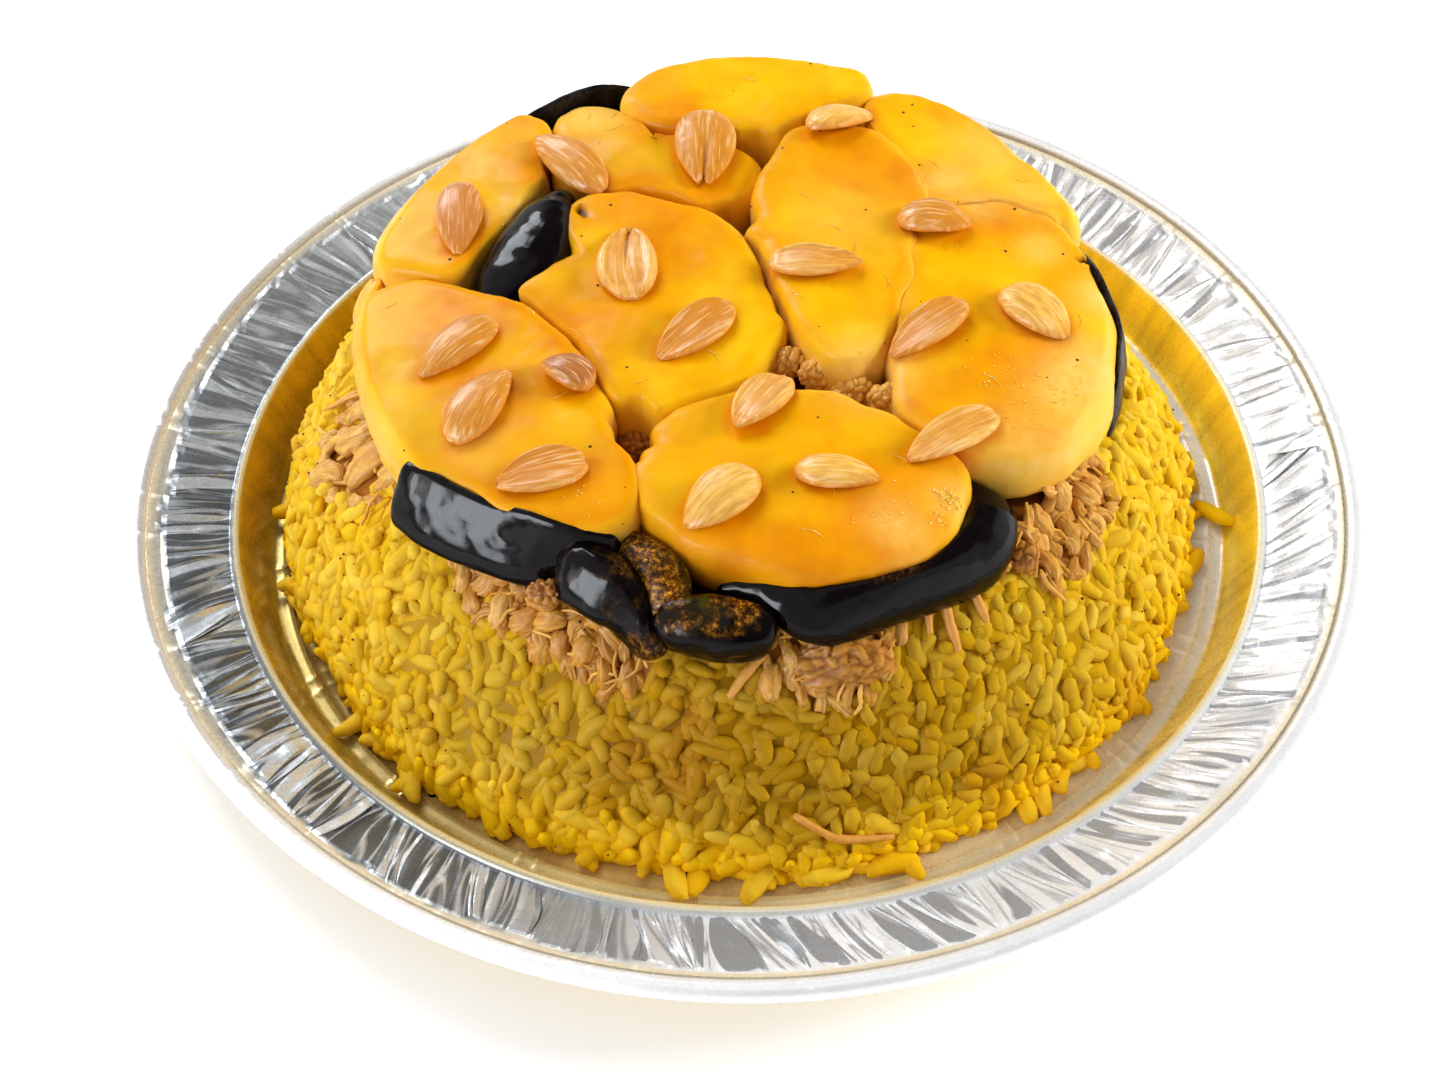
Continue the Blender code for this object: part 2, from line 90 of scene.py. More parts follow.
# Aubergine slices, the nearest to the front first: each keeps its outline, and those behind are pressed by it.
# centre x, y, half sizes along u and v, direction of u, squareness, taper along u, thickness, lift,
# and how far its near side runs on behind the slice in front of it
SLICES = {
    "aubergine_front": (11.4, -52.5, 37.5, 25.0, -10, 1.9, -0.02, 16.5, 0.4, 0.0),
    "aubergine_front_left": (-58.5, -29.0, 47.5, 24.0, 124, 1.95, -0.08, 17.5, 0.0, 0.0),
    "aubergine_right": (59.5, -8.5, 41.0, 26.0, 94, 2.25, -0.06, 17.5, 0.2, 0.0),
    "aubergine_centre_left": (-20.8, 5.0, 25.8, 35.4, 26, 2.5, -0.07, 17.5, 0.6, 4.0),
    "aubergine_centre_right": (23.2, 21.0, 43.0, 18.8, 90, 2.3, 0.25, 18.5, 0.6, 1.5),
    "aubergine_back_left": (-68.6, 43.5, 32.0, 15.8, 64, 2.6, -0.12, 17.0, 0.5, 3.0),
    "aubergine_back_right": (55.0, 48.0, 16.0, 36.0, 42, 1.9, 0.25, 17.5, 0.6, 6.0),
    "aubergine_back": (1.5, 76.0, 35.5, 15.5, 9, 1.9, -0.05, 18.5, 1.0, 1.0),
    "aubergine_back_mid": (-22.0, 55.0, 30.5, 16.0, -26, 2.5, -0.3, 16.5, 0.0, 5.0),
}
SLICE_STEPS = 24
# Cross-section of a slice from its middle to its rim and back underneath: share of radius, share of thickness.
SLICE_SECTION = ((0.52, 0.985), (0.82, 0.90), (0.955, 0.68), (1.0, 0.36), (0.94, 0.06), (0.55, 0.0))

# Small folded pieces beside the slices: the same numbers as a slice.
FOLDS = {
    "aubergine_fold_left": (-28.5, -77.0, 10.0, 7.5, -30, 2.2, 0.0, 10.5, 0.6),
    "aubergine_fold_flesh": (-15.5, -77.5, 7.5, 6.0, -60, 2.1, 0.0, 9.5, 0.6),
    "aubergine_fold_low": (-7.0, -84.5, 13.0, 6.0, 0, 2.5, 0.0, 9.0, 0.6),
    "aubergine_wedge_left": (-90.5, 17.0, 7.5, 5.5, 80, 2.0, 0.0, 11.0, 0.6),
}
FOLD_STEPS = 14

# Bands of skin that follow a rim. Round which slice (or the bed), from and to which direction, width at the
# start and at the end, height at the start and at the end, how far the band starts below the slice's top.
BANDS = {
    "aubergine_skin_front": ("aubergine_front", -128, 15, 2.4, 15.0, 12.0, 16.5, 4.0),
    "aubergine_skin_gap": ("aubergine_back_left", -84, 18, 5.0, 8.0, 13.5, 13.5, 2.0),
    "aubergine_skin_right": (None, -17, 18, 3.0, 2.8, 16.0, 16.0, 0.0),
    "aubergine_skin_back": (None, 106, 133, 5.5, 5.0, 17.0, 15.0, 0.0),
}
BAND_STEPS = 12

# Almond halves: middle x, y, direction of the pointed end, length, width.
ALMONDS = (
    (-42.8, 47.5, 133, 26.0, 11.5),
    (-9.5, 50.5, -91, 26.0, 15.5),
    (24.5, 59.5, 36, 21.0, 11.0),
    (-68.4, 26.5, -88, 23.0, 11.5),
    (-26.6, 9.5, 93, 25.0, 14.5),
    (-11.3, -13.0, 225, 23.0, 11.5),
    (16.8, 7.5, -6, 22.0, 9.5),
    (45.4, 22.0, -4, 17.5, 11.5),
    (41.8, -13.5, 218, 22.5, 11.0),
    (66.6, -7.5, -46, 19.5, 13.0),
    (45.2, -45.0, 212, 24.0, 10.5),
    (3.5, -34.5, 239, 21.0, 12.0),
    (19.6, -55.4, -5, 18.5, 8.5),
    (-5.2, -62.2, 218, 19.5, 12.5),
    (-43.9, -54.2, 196, 20.5, 11.0),
    (-58.4, -35.0, 62, 23.0, 12.0),
    (-65.1, -17.0, 227, 23.0, 11.0),
    (-39.9, -26.4, 151, 13.0, 11.0),
)
ALMOND_THICK = 5.2
ALMOND_SPAN = 4.0        # slice surface this far below the highest doesn't carry an almond
ALMOND_LEAN = 0.28       # steepest slope of an almond
ALMOND_SECTIONS = 5
ALMOND_POINTS = 6


def turn_gap(a, b):
    """Smallest difference of two directions in degrees."""
    return (a - b + 180) % 360 - 180


def lumps(turn, height, seed, count=5, low=3, high=17):
    """Smooth uneven value, about -1 to 1, from a few seeded waves round the dish."""
    source = np.random.default_rng(seed)
    total = 0.0
    for _ in range(count):
        waves = int(source.integers(low, high))
        total += math.sin(waves * turn + source.uniform(0, 6.28) + height * source.uniform(0.02, 0.12)) / count ** 0.5
    return total


def rice_radius(turn, height):
    heights, radii = zip(*RICE_SIDE)
    radius = float(np.interp(height, heights, radii))
    share = (height - RICE_FOOT_Z) / (RICE_TOP_Z - RICE_FOOT_Z)
    for direction, spread, foot, top in RICE_BULGES:
        weight = math.exp(-(turn_gap(math.degrees(turn), direction) / spread) ** 2)
        radius += weight * (foot + (top - foot) * share)
    return radius + (2.0 - 0.9 * share) * lumps(turn, height, 11)


def bed(x, y):
    """Height of the surface that the aubergine lies on."""
    reach = math.hypot(x - BED_CENTRE[0], y - BED_CENTRE[1])
    bent = max(0.0, min(reach, BED_STEEP_R) - BED_FLAT_R)
    return BED_Z + BED_TILT * y - BED_FALL * bent * bent - BED_STEEP * max(0.0, reach - BED_STEEP_R)


def plain_radius(spec, turn):
    """Distance from a slice's middle to its rim before its neighbours press on it."""
    cx, cy, half_u, half_v, direction, square, taper = spec[:7]
    local = turn - math.radians(direction)
    low, high = 0.0, 2.0 * max(half_u, half_v)
    for _ in range(30):
        middle = 0.5 * (low + high)
        u, v = middle * math.cos(local), middle * math.sin(local)
        width = max(0.2 * half_v, half_v * (1 + taper * u / half_u))
        outside = abs(u / half_u) ** square + abs(v / width) ** square > 1
        low, high = (low, middle) if outside else (middle, high)
    return low


def too_near(point, outline, margin):
    """Whether a plan point lies in a closed outline or within the margin of it."""
    ends = np.roll(outline, -1, axis=0)
    along = ends - outline
    share = np.clip(((point - outline) * along).sum(1) / (along ** 2).sum(1), 0, 1)
    nearest = np.hypot(*(outline + along * share[:, None] - point).T).min()
    crosses = (outline[:, 1] > point[1]) != (ends[:, 1] > point[1])
    with np.errstate(divide="ignore", invalid="ignore"):
        x_at = outline[:, 0] + (point[1] - outline[:, 1]) * along[:, 0] / along[:, 1]
    inside = np.count_nonzero(crosses & (point[0] < x_at)) % 2 == 1
    return inside or nearest < margin


def pressed_outline(spec, steps, others, margin=1.0):
    """A slice's rim in plan, drawn in where it meets the pieces that lie above or before it."""
    middle = np.array(spec[:2])
    source = np.random.default_rng(int(abs(spec[0] * 7 + spec[1] * 13)) + 5)
    phase = source.uniform(0, 6.28, 2)
    reach = []
    for k in range(steps):
        turn = 2 * math.pi * k / steps
        wave = 1 + 0.012 * math.sin(3 * turn + phase[0]) + 0.012 * math.sin(5 * turn + phase[1])
        near_side = max(0.0, -math.sin(turn)) * (spec[9] if len(spec) > 9 else 0.0)
        radius = plain_radius(spec, turn) * wave + near_side
        ray = np.array((math.cos(turn), math.sin(turn)))
        while radius > 2.0 and any(too_near(middle + ray * radius, other, margin) for other in others):
            radius -= 0.4
        reach.append(radius)
    reach = np.array(reach)
    turns = np.arange(steps) * 2 * math.pi / steps
    rays = np.c_[np.cos(turns), np.sin(turns)]
    for _ in range(60):
        # No chord between two rim points may cut a corner of a neighbour.
        rim = middle + rays * reach[:, None]
        chords = 0.5 * (rim + np.roll(rim, -1, axis=0))
        cut = [k for k in range(steps) if any(too_near(chords[k], other, 0.8 * margin) for other in others)]
        if not cut:
            break
        for k in set(cut) | {(k + 1) % steps for k in cut}:
            reach[k] -= 0.4
    for _ in range(2):
        reach = np.minimum(reach, 0.25 * np.roll(reach, 1) + 0.5 * reach + 0.25 * np.roll(reach, -1) + 0.15)
    return reach, middle + rays * reach[:, None]


def section_height(share):
    """Height of a slice's upper side, as a share of its thickness, at a share of its radius."""
    shares, heights = zip(*((0.0, 1.0),) + SLICE_SECTION[:4])
    return float(np.interp(share, shares, heights))


def top_of_slices(x, y, reaches):
    """Height of the upper side of whichever slice lies at this plan point."""
    highest = bed(x, y)
    for name, reach in reaches.items():
        spec = SLICES[name]
        dx, dy = x - spec[0], y - spec[1]
        turn = math.atan2(dy, dx) % (2 * math.pi)
        turns = np.arange(SLICE_STEPS + 1) * 2 * math.pi / SLICE_STEPS
        radius = float(np.interp(turn, turns, np.append(reach, reach[0])))
        share = math.hypot(dx, dy) / radius
        if share < 1.0:
            highest = max(highest, bed(x, y) + GAP + spec[8] + spec[7] * section_height(share))
    return highest


# ---------------------------------------------------------------- helpers

HASHED = np.random.default_rng(7).random(8192)


def noise(points, size, seed=0):
    """Smooth uneven value between -1 and 1 for each point; its lumps are about `size` across."""
    p = np.asarray(points, float) / size + (seed * 13.7 + 500.3)
    base = np.floor(p).astype(np.int64)
    part = p - base
    part = part * part * (3 - 2 * part)
    total = 0.0
    for corner in range(8):
        step = np.array([(corner >> i) & 1 for i in range(p.shape[-1])])
        key = base + step
        mixed = (key[..., 0] * 73856093) ^ (key[..., 1] * 19349663)
        if p.shape[-1] == 3:
            mixed = mixed ^ (key[..., 2] * 83492791)
        elif corner > 3:
            break
        weight = np.prod(np.where(step == 1, part, 1 - part), axis=-1)
        total = total + HASHED[mixed & 8191] * weight
    return 2 * total - 1


def smooth(low, high, value):
    share = np.clip((value - low) / (high - low), 0, 1)
    return share * share * (3 - 2 * share)


def closed_curve(values, count):
    """A smooth closed curve through evenly spaced rows, read at `count` places."""
    values = np.asarray(values, float)
    n = len(values)
    place = np.arange(count) * n / count
    i = np.floor(place).astype(int)
    f = (place - i).reshape((-1,) + (1,) * (values.ndim - 1))
    a, b, c, d = values[(i - 1) % n], values[i % n], values[(i + 1) % n], values[(i + 2) % n]
    return 0.5 * (2 * b + (c - a) * f + (2 * a - 5 * b + 4 * c - d) * f ** 2 + (3 * b - a - 3 * c + d) * f ** 3)


def open_curve(values, count):
    values = np.asarray(values, float)
    n = len(values)
    place = np.linspace(0, n - 1, count)
    i = np.minimum(np.floor(place).astype(int), n - 2)
    f = (place - i).reshape((-1,) + (1,) * (values.ndim - 1))
    a, b = values[np.maximum(i - 1, 0)], values[i]
    c, d = values[i + 1], values[np.minimum(i + 2, n - 1)]
    return 0.5 * (2 * b + (c - a) * f + (2 * a - 5 * b + 4 * c - d) * f ** 2 + (3 * b - a - 3 * c + d) * f ** 3)


def wound(points, quads, tris):
    """The faces turned so that they look outwards."""
    ends = np.concatenate([tris, quads[:, [0, 1, 2]], quads[:, [0, 2, 3]]]) if len(quads) else tris
    corners = points[ends] - points.mean(0)
    volume = np.einsum("ij,ij->i", corners[:, 0], np.cross(corners[:, 1], corners[:, 2])).sum()
    return (quads, tris) if volume > 0 else (quads[:, ::-1], tris[:, ::-1])


def capped(grid, first, last):
    """Points and faces of a closed body: rings of points, with a fan to a point at each end."""
    rows, columns = grid.shape[:2]
    points = np.concatenate([grid.reshape(-1, 3), [first], [last]])
    row = (np.arange(rows - 1) * columns)[:, None]
    here = np.arange(columns)
    after = (here + 1) % columns
    quads = np.stack([row + here, row + after, row + columns + after, row + columns + here], -1).reshape(-1, 4)
    n = rows * columns
    tris = np.concatenate([np.c_[after, here, np.full(columns, n)],
                           np.c_[n - columns + here, n - columns + after, np.full(columns, n + 1)]])
    return points, *wound(points, quads, tris)


class Heap:
    """Gathers the points, faces and tones of one joined mesh."""

    def __init__(self):
        self.points, self.quads, self.tris, self.tones, self.grains = [], [], [], [], []
        self.count = 0

    def add(self, points, quads, tris, tone, grain=None):
        self.points.append(points)
        self.grains.append(np.zeros((len(points), 4)) if grain is None else grain)
        if len(quads):
            self.quads.append(quads + self.count)
        if len(tris):
            self.tris.append(tris + self.count)
        tone = np.broadcast_to(np.asarray(tone, float), (len(points), 4))
        self.tones.append(tone)
        self.count += len(points)

    def made(self, name, look, nodes=(), finish=None, crease=None):
        quads = np.concatenate(self.quads) if self.quads else np.zeros((0, 4), int)
        tris = np.concatenate(self.tris) if self.tris else np.zeros((0, 3), int)
        return piece(name, np.concatenate(self.points), quads, tris, look, np.concatenate(self.tones), nodes, crease,
                     {"grain": np.concatenate(self.grains)})


def piece(name, points, quads, tris, look, tones=None, nodes=(), crease=None, extra=None):
    """A smooth-shaded mesh object that rides on the body."""
    mesh = bpy.data.meshes.new(name)
    mesh.vertices.add(len(points))
    mesh.vertices.foreach_set("co", (np.asarray(points) * MM).astype(np.float32).ravel())
    corners = np.concatenate([np.ravel(quads), np.ravel(tris)]).astype(np.int32)
    sizes = np.concatenate([np.full(len(quads), 4), np.full(len(tris), 3)])
    mesh.loops.add(len(corners))
    mesh.loops.foreach_set("vertex_index", corners)
    mesh.polygons.add(len(sizes))
    mesh.polygons.foreach_set("loop_start", np.concatenate([[0], np.cumsum(sizes)[:-1]]).astype(np.int32))
    mesh.update(calc_edges=True)
    mesh.validate()
    if tones is not None:
        layer = mesh.attributes.new("tone", "FLOAT_COLOR", "POINT")
        layer.data.foreach_set("color", np.ascontiguousarray(tones, np.float32).ravel())
    for key, values in (extra or {}).items():
        layer = mesh.attributes.new(key, "FLOAT_COLOR", "POINT")
        layer.data.foreach_set("color", np.ascontiguousarray(values, np.float32).ravel())
    mesh.shade_smooth()
    if crease:
        mesh.set_sharp_from_angle(angle=math.radians(crease))
    mesh.materials.append(look)
    made = bpy.data.objects.new(name, mesh)
    bpy.context.scene.collection.objects.link(made)
    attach(made, "root")
    if nodes:
        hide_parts(*nodes)
    return made


def srgb(red, green, blue):
    """Linear colour of an 8-bit display colour."""
    shares = [c / 255 for c in (red, green, blue)]
    return tuple(c / 12.92 if c <= 0.04045 else ((c + 0.055) / 1.055) ** 2.4 for c in shares)


def blend(a, b, share):
    share = np.asarray(share)[..., None]
    return np.asarray(a) * (1 - share) + np.asarray(b) * share


def cells(points, size, seed=0):
    """How far each point is from the middle of its uneven cell, and how near its cell's border; cells are about `size` across."""
    p = np.asarray(points, float) / size + (seed * 9.1 + 300.7)
    base = np.floor(p).astype(np.int64)
    first = np.full(len(p), 9.0)
    second = np.full(len(p), 9.0)
    for corner in range(27):
        key = base + np.array([corner % 3 - 1, corner // 3 % 3 - 1, corner // 9 - 1])
        mixed = (key[:, 0] * 73856093) ^ (key[:, 1] * 19349663) ^ (key[:, 2] * 83492791)
        spot = key + 0.1 + 0.8 * np.c_[HASHED[mixed & 8191], HASHED[(mixed + 1311) & 8191], HASHED[(mixed + 4177) & 8191]]
        away = np.linalg.norm(spot - p, axis=1)
        second = np.minimum(second, np.maximum(first, away))
        first = np.minimum(first, away)
    return first, second - first


# ---------------------------------------------------------------- materials

class Look:
    """A Principled material with its texture nodes."""

    def __init__(self, name, roughness=0.5, metallic=0.0, **sockets):
        self.material = bpy.data.materials.new(name)
        self.material.use_nodes = True
        self.tree = self.material.node_tree
        self.shader = self.tree.nodes["Principled BSDF"]
        self.shader.inputs["Roughness"].default_value = roughness
        self.shader.inputs["Metallic"].default_value = metallic
        for key, value in sockets.items():
            self.shader.inputs[key.replace("_", " ")].default_value = value
        self.place = self.tree.nodes.new("ShaderNodeTexCoord").outputs["Object"]

    def link(self, out, socket):
        self.tree.links.new(out, self.shader.inputs[socket] if isinstance(socket, str) else socket)

    def tone(self, name="tone"):
        node = self.tree.nodes.new("ShaderNodeAttribute")
        node.attribute_name = name
        return node.outputs["Color"], node.outputs["Alpha"]

    def split(self, colour):
        node = self.tree.nodes.new("ShaderNodeSeparateColor")
        self.link(colour, node.inputs[0])
        return node.outputs

    def noise(self, size, detail=3.0, roughness=0.5, stretch=None, place=None):
        """Noise with lumps about `size` mm across."""
        node = self.tree.nodes.new("ShaderNodeTexNoise")
        node.inputs["Scale"].default_value = 1.0 / (size * MM)
        node.inputs["Detail"].default_value = detail
        node.inputs["Roughness"].default_value = roughness
        place = place or self.place
        if stretch:
            mapping = self.tree.nodes.new("ShaderNodeMapping")
            mapping.inputs["Scale"].default_value = stretch
            self.link(place, mapping.inputs["Vector"])
            place = mapping.outputs["Vector"]
        self.link(place, node.inputs["Vector"])
        return node.outputs["Fac"]

    def ramp(self, value, *stops):
        node = self.tree.nodes.new("ShaderNodeValToRGB")
        while len(node.color_ramp.elements) < len(stops):
            node.color_ramp.elements.new(0.5)
        for element, (place, colour) in zip(node.color_ramp.elements, stops):
            element.position = place
            element.color = (*colour, 1.0) if isinstance(colour, tuple) else (colour, colour, colour, 1.0)
        self.link(value, node.inputs["Fac"])
        return node.outputs["Color"]

    def mix(self, share, a, b, kind="MIX"):
        node = self.tree.nodes.new("ShaderNodeMix")
        node.data_type, node.blend_type = "RGBA", kind
        for socket, value in ((node.inputs[0], share), (node.inputs[6], a), (node.inputs[7], b)):
            if isinstance(value, (int, float)):
                socket.default_value = value
            elif isinstance(value, tuple):
                socket.default_value = (*value, 1.0)
            else:
                self.link(value, socket)
        return node.outputs[2]

    def sum(self, kind, a, b):
        node = self.tree.nodes.new("ShaderNodeMath")
        node.operation = kind
        for socket, value in zip(node.inputs, (a, b)):
            if isinstance(value, (int, float)):
                socket.default_value = value
            else:
                self.link(value, socket)
        return node.outputs[0]

    def bump(self, height, distance, strength=1.0, under=None):
        node = self.tree.nodes.new("ShaderNodeBump")
        node.inputs["Strength"].default_value = strength
        node.inputs["Distance"].default_value = distance * MM
        self.link(height, node.inputs["Height"])
        if under is not None:
            self.link(under, node.inputs["Normal"])
        return node.outputs["Normal"]


def foil_look():
    """Satin foil. Tone: its tint, which by direction is partly painted reflection, and in alpha how metallic it is.
    Fold: a place along the rim, drawn out across it, and in alpha how strongly the leaf
    patches show. Line: the tint of the fine creases and the leaf patches, painted highlights at the left and painted
    shade elsewhere, and in alpha how many creases there are."""
    look = Look("foil", roughness=0.28, metallic=0.5)
    look.shader.inputs["Specular IOR Level"].default_value = 0.42
    tone, metal = look.tone()
    fold, bold = look.tone("fold")
    line, creased = look.tone("line")

    def contour(size, seed_size, low, high):
        """Thin leaf-shaped outlines round the lumps of a noise."""
        off = look.sum("ABSOLUTE", look.sum("SUBTRACT", look.noise(size, 1.0, 0.5, seed_size, fold), 0.5), 0.0)
        return look.ramp(off, (low, 1.0), (high, 0.0))

    first = contour(2.3, (1.0, 1.0, 0.34), 0.008, 0.050)
    second = contour(3.6, (1.0, 1.0, 0.6), 0.006, 0.036)
    lines = look.sum("MULTIPLY", look.sum("MAXIMUM", first, second), creased)
    spread = look.sum("ADD", look.noise(2.2, 0.0, 0.5, (1.0, 1.0, 0.42), fold), look.sum("MULTIPLY", look.sum("SUBTRACT", bold, 1.0), 0.25))
    patch = look.sum("MULTIPLY", look.ramp(spread, (0.47, 0.0), (0.495, 1.0)), look.ramp(bold, (0.10, 0.0), (0.30, 1.0)))
    base = look.mix(1.0, look.ramp(look.noise(9.0, 2), (0.3, 0.92), (0.7, 1.0)), tone, "MULTIPLY")
    # Painted highlights and shade: the leaf patches and the thin crease lines take the line tint, light at the left and
    # dark elsewhere.
    base = look.mix(patch, base, line)
    base = look.mix(lines, base, line)
    look.link(base, "Base Color")
    look.link(metal, "Metallic")
    look.link(look.ramp(look.noise(1.6, 4, 0.6), (0.25, 0.22), (0.8, 0.36)), "Roughness")
    soft = look.bump(look.noise(2.6, 3, 0.55), 0.035, 0.5)
    look.link(look.bump(look.sum("MULTIPLY", look.noise(2.3, 1.0, 0.5, (1.0, 1.0, 0.34), fold), creased), 1.0, 0.7, soft), "Normal")
    return look.material


def rice_look(name, gloss=0.5):
    look = Look(name, roughness=gloss, Subsurface_Weight=0.08, Subsurface_Scale=0.0008)
    look.shader.inputs["Subsurface Radius"].default_value = (1.0, 0.9, 0.4)
    look.shader.inputs["Specular IOR Level"].default_value = 0.045
    tone, _ = look.tone()
    patches = look.ramp(look.noise(2.6, 3), (0.3, (0.94, 0.90, 0.74)), (0.65, (1.0, 1.0, 1.0)))
    look.link(look.mix(1.0, tone, patches, "MULTIPLY"), "Base Color")
    look.link(look.ramp(look.noise(1.4, 2), (0.3, gloss - 0.16), (0.7, gloss + 0.08)), "Roughness")
    look.link(look.bump(look.noise(0.9, 3), 0.10, 0.4), "Normal")
    return look.material


def meat_look():
    look = Look("chicken", roughness=0.46, Subsurface_Weight=0.12, Subsurface_Scale=0.0012)
    look.shader.inputs["Subsurface Radius"].default_value = (1.0, 0.6, 0.25)
    look.shader.inputs["Specular IOR Level"].default_value = 0.24
    tone, _ = look.tone()
    grain, _ = look.tone("grain")
    fibres = look.noise(0.62, 3, 0.55, None, grain)
    veins = look.ramp(look.noise(1.5, 4, 0.6), (0.30, (0.86, 0.76, 0.60)), (0.58, (1.0, 1.0, 1.0)))
    base = look.mix(1.0, tone, veins, "MULTIPLY")
    base = look.mix(look.ramp(fibres, (0.36, 0.42), (0.50, 0.0)), base, srgb(176, 106, 42))
    base = look.mix(look.ramp(fibres, (0.56, 0.0), (0.70, 0.45)), base, srgb(250, 216, 142))
    look.link(base, "Base Color")
    look.link(look.ramp(look.noise(1.0, 2), (0.3, 0.34), (0.7, 0.55)), "Roughness")
    look.link(look.bump(fibres, 0.40, 0.8, look.bump(look.noise(0.5, 4, 0.6), 0.10, 0.6)), "Normal")
    return look.material


def flesh_look():
    """Glazed yellow flesh. Tone: red is the pale side, green the glaze, blue a brown edge, alpha a dark pit."""
    look = Look("aubergine_flesh", roughness=0.34, Subsurface_Weight=0.12, Subsurface_Scale=0.002, Coat_Weight=0.04, Coat_Roughness=0.12)
    look.shader.inputs["Subsurface Radius"].default_value = (1.0, 0.55, 0.06)
    look.shader.inputs["Specular IOR Level"].default_value = 0.05
    tone, pit = look.tone()
    pale, glaze, brown = look.split(tone)
    base = look.ramp(look.noise(15.0, 2, 0.45), (0.25, srgb(230, 162, 0)), (0.52, srgb(237, 179, 1)), (0.75, srgb(243, 194, 6)))
    base = look.mix(look.ramp(look.noise(7.0, 2, 0.45, (1.0, 1.0, 0.4)), (0.46, 0.0), (0.70, 0.40)), base, srgb(249, 206, 24))
    amount = look.sum("MULTIPLY", look.sum("ADD", look.sum("MULTIPLY", look.noise(8.0, 2, 0.5), 0.7), 0.56), glaze)
    base = look.mix(amount, base, look.ramp(look.noise(9.0, 2, 0.5), (0.35, srgb(218, 128, 2)), (0.65, srgb(232, 146, 3))))
    pale_amount = look.sum("MULTIPLY", look.sum("ADD", look.sum("MULTIPLY", look.noise(3.0, 5, 0.65), 1.5), 0.1), pale)
    base = look.mix(pale_amount, base, srgb(242, 198, 100))
    base = look.mix(brown, base, srgb(126, 72, 12))
    base = look.mix(look.ramp(look.noise(1.1, 2), (0.76, 0.0), (0.82, 0.35)), base, srgb(200, 120, 8))
    base = look.mix(pit, base, srgb(70, 26, 14))
    look.link(base, "Base Color")
    look.link(look.ramp(look.noise(4.0, 4, 0.6), (0.3, 0.24), (0.75, 0.46)), "Roughness")
    fine = look.bump(look.noise(0.9, 4, 0.65), 0.07, 0.5)
    look.link(look.bump(look.noise(3.4, 4, 0.55), 0.26, 0.6, fine), "Normal")
    return look.material


def skin_look():
    """Black glossy skin. Tone: red is bark-like grey, green an oily brown, blue olive."""
    look = Look("aubergine_skin", roughness=0.12, Coat_Weight=0.07, Coat_Roughness=0.03)
    look.shader.inputs["Specular IOR Level"].default_value = 0.10
    tone, _ = look.tone()
    bark, oil, olive = look.split(tone)
    base = look.ramp(look.noise(4.0, 3), (0.3, srgb(5, 3, 4)), (0.7, srgb(15, 9, 10)))
    base = look.mix(oil, base, look.ramp(look.noise(1.2, 4, 0.7, (1.0, 1.0, 1.0)), (0.40, srgb(30, 16, 4)), (0.52, srgb(120, 66, 8)), (0.62, srgb(206, 140, 30)), (0.70, srgb(240, 196, 90))))
    base = look.mix(olive, base, look.ramp(look.noise(2.5, 3), (0.35, srgb(16, 13, 4)), (0.65, srgb(70, 62, 8))))
    base = look.mix(bark, base, look.ramp(look.noise(1.3, 4, 0.7), (0.35, srgb(20, 15, 14)), (0.65, srgb(82, 74, 68))))
    look.link(base, "Base Color")
    rough = look.ramp(look.noise(2.0, 3), (0.4, 0.08), (0.75, 0.22))
    rough = look.mix(olive, rough, (0.24, 0.24, 0.24))
    look.link(look.mix(bark, rough, (0.42, 0.42, 0.42)), "Roughness")
    ripple = look.bump(look.noise(1.2, 4, 0.6), 0.05, 0.4)
    grain = look.mix(oil, (0.5, 0.5, 0.5), look.noise(0.8, 4, 0.7))
    look.link(look.bump(grain, 0.35, 0.8, ripple), "Normal")
    return look.material


def nut_look():
    look = Look("almond", roughness=0.38, Subsurface_Weight=0.1, Subsurface_Scale=0.001, Coat_Weight=0.15, Coat_Roughness=0.18)
    look.shader.inputs["Subsurface Radius"].default_value = (1.0, 0.6, 0.25)
    look.shader.inputs["Specular IOR Level"].default_value = 0.22
    tone, _ = look.tone()
    grain, _ = look.tone("grain")
    shade = look.ramp(look.noise(2.2, 4, 0.6), (0.3, (0.90, 0.83, 0.72)), (0.65, (1.0, 1.0, 1.0)))
    fibres = look.noise(0.75, 2, 0.5, None, grain)
    base = look.mix(1.0, tone, shade, "MULTIPLY")
    base = look.mix(look.ramp(fibres, (0.34, 0.42), (0.50, 0.0)), base, srgb(192, 122, 56))
    base = look.mix(look.ramp(fibres, (0.54, 0.0), (0.68, 0.5)), base, srgb(250, 214, 162))
    look.link(base, "Base Color")
    look.link(look.ramp(look.noise(1.8, 2), (0.3, 0.28), (0.7, 0.46)), "Roughness")
    look.link(look.bump(fibres, 0.22, 0.7, look.bump(look.noise(0.6, 3), 0.05, 0.5)), "Normal")
    return look.material


def glaze_look():
    look = Look("glaze", roughness=0.14, Coat_Weight=0.5, Coat_Roughness=0.04, Subsurface_Weight=0.15, Subsurface_Scale=0.001)
    look.shader.inputs["Specular IOR Level"].default_value = 0.4
    tone, _ = look.tone()
    look.link(look.mix(1.0, tone, look.ramp(look.noise(1.5, 2), (0.3, (0.88, 0.80, 0.6)), (0.7, (1.0, 1.0, 1.0))), "MULTIPLY"), "Base Color")
    look.link(look.ramp(look.noise(1.0, 2), (0.3, 0.10), (0.7, 0.22)), "Roughness")
    return look.material


# ---------------------------------------------------------------- platter

PLEATS = 516             # fold lines round the rim: ridge and valley by turns
PLEAT_COLUMNS = 2        # mesh columns from one fold line to the next
PLEAT_IN_R, PLEAT_OUT_R = 130.3, 146.0
SHEET = 0.5              # thickness of the foil as it looks
RIB_TURNS = 20           # short radial ribs in the floor, under the food's edge
BEAD_CENTRE, BEAD_R = (150.0, 18.4), 2.45
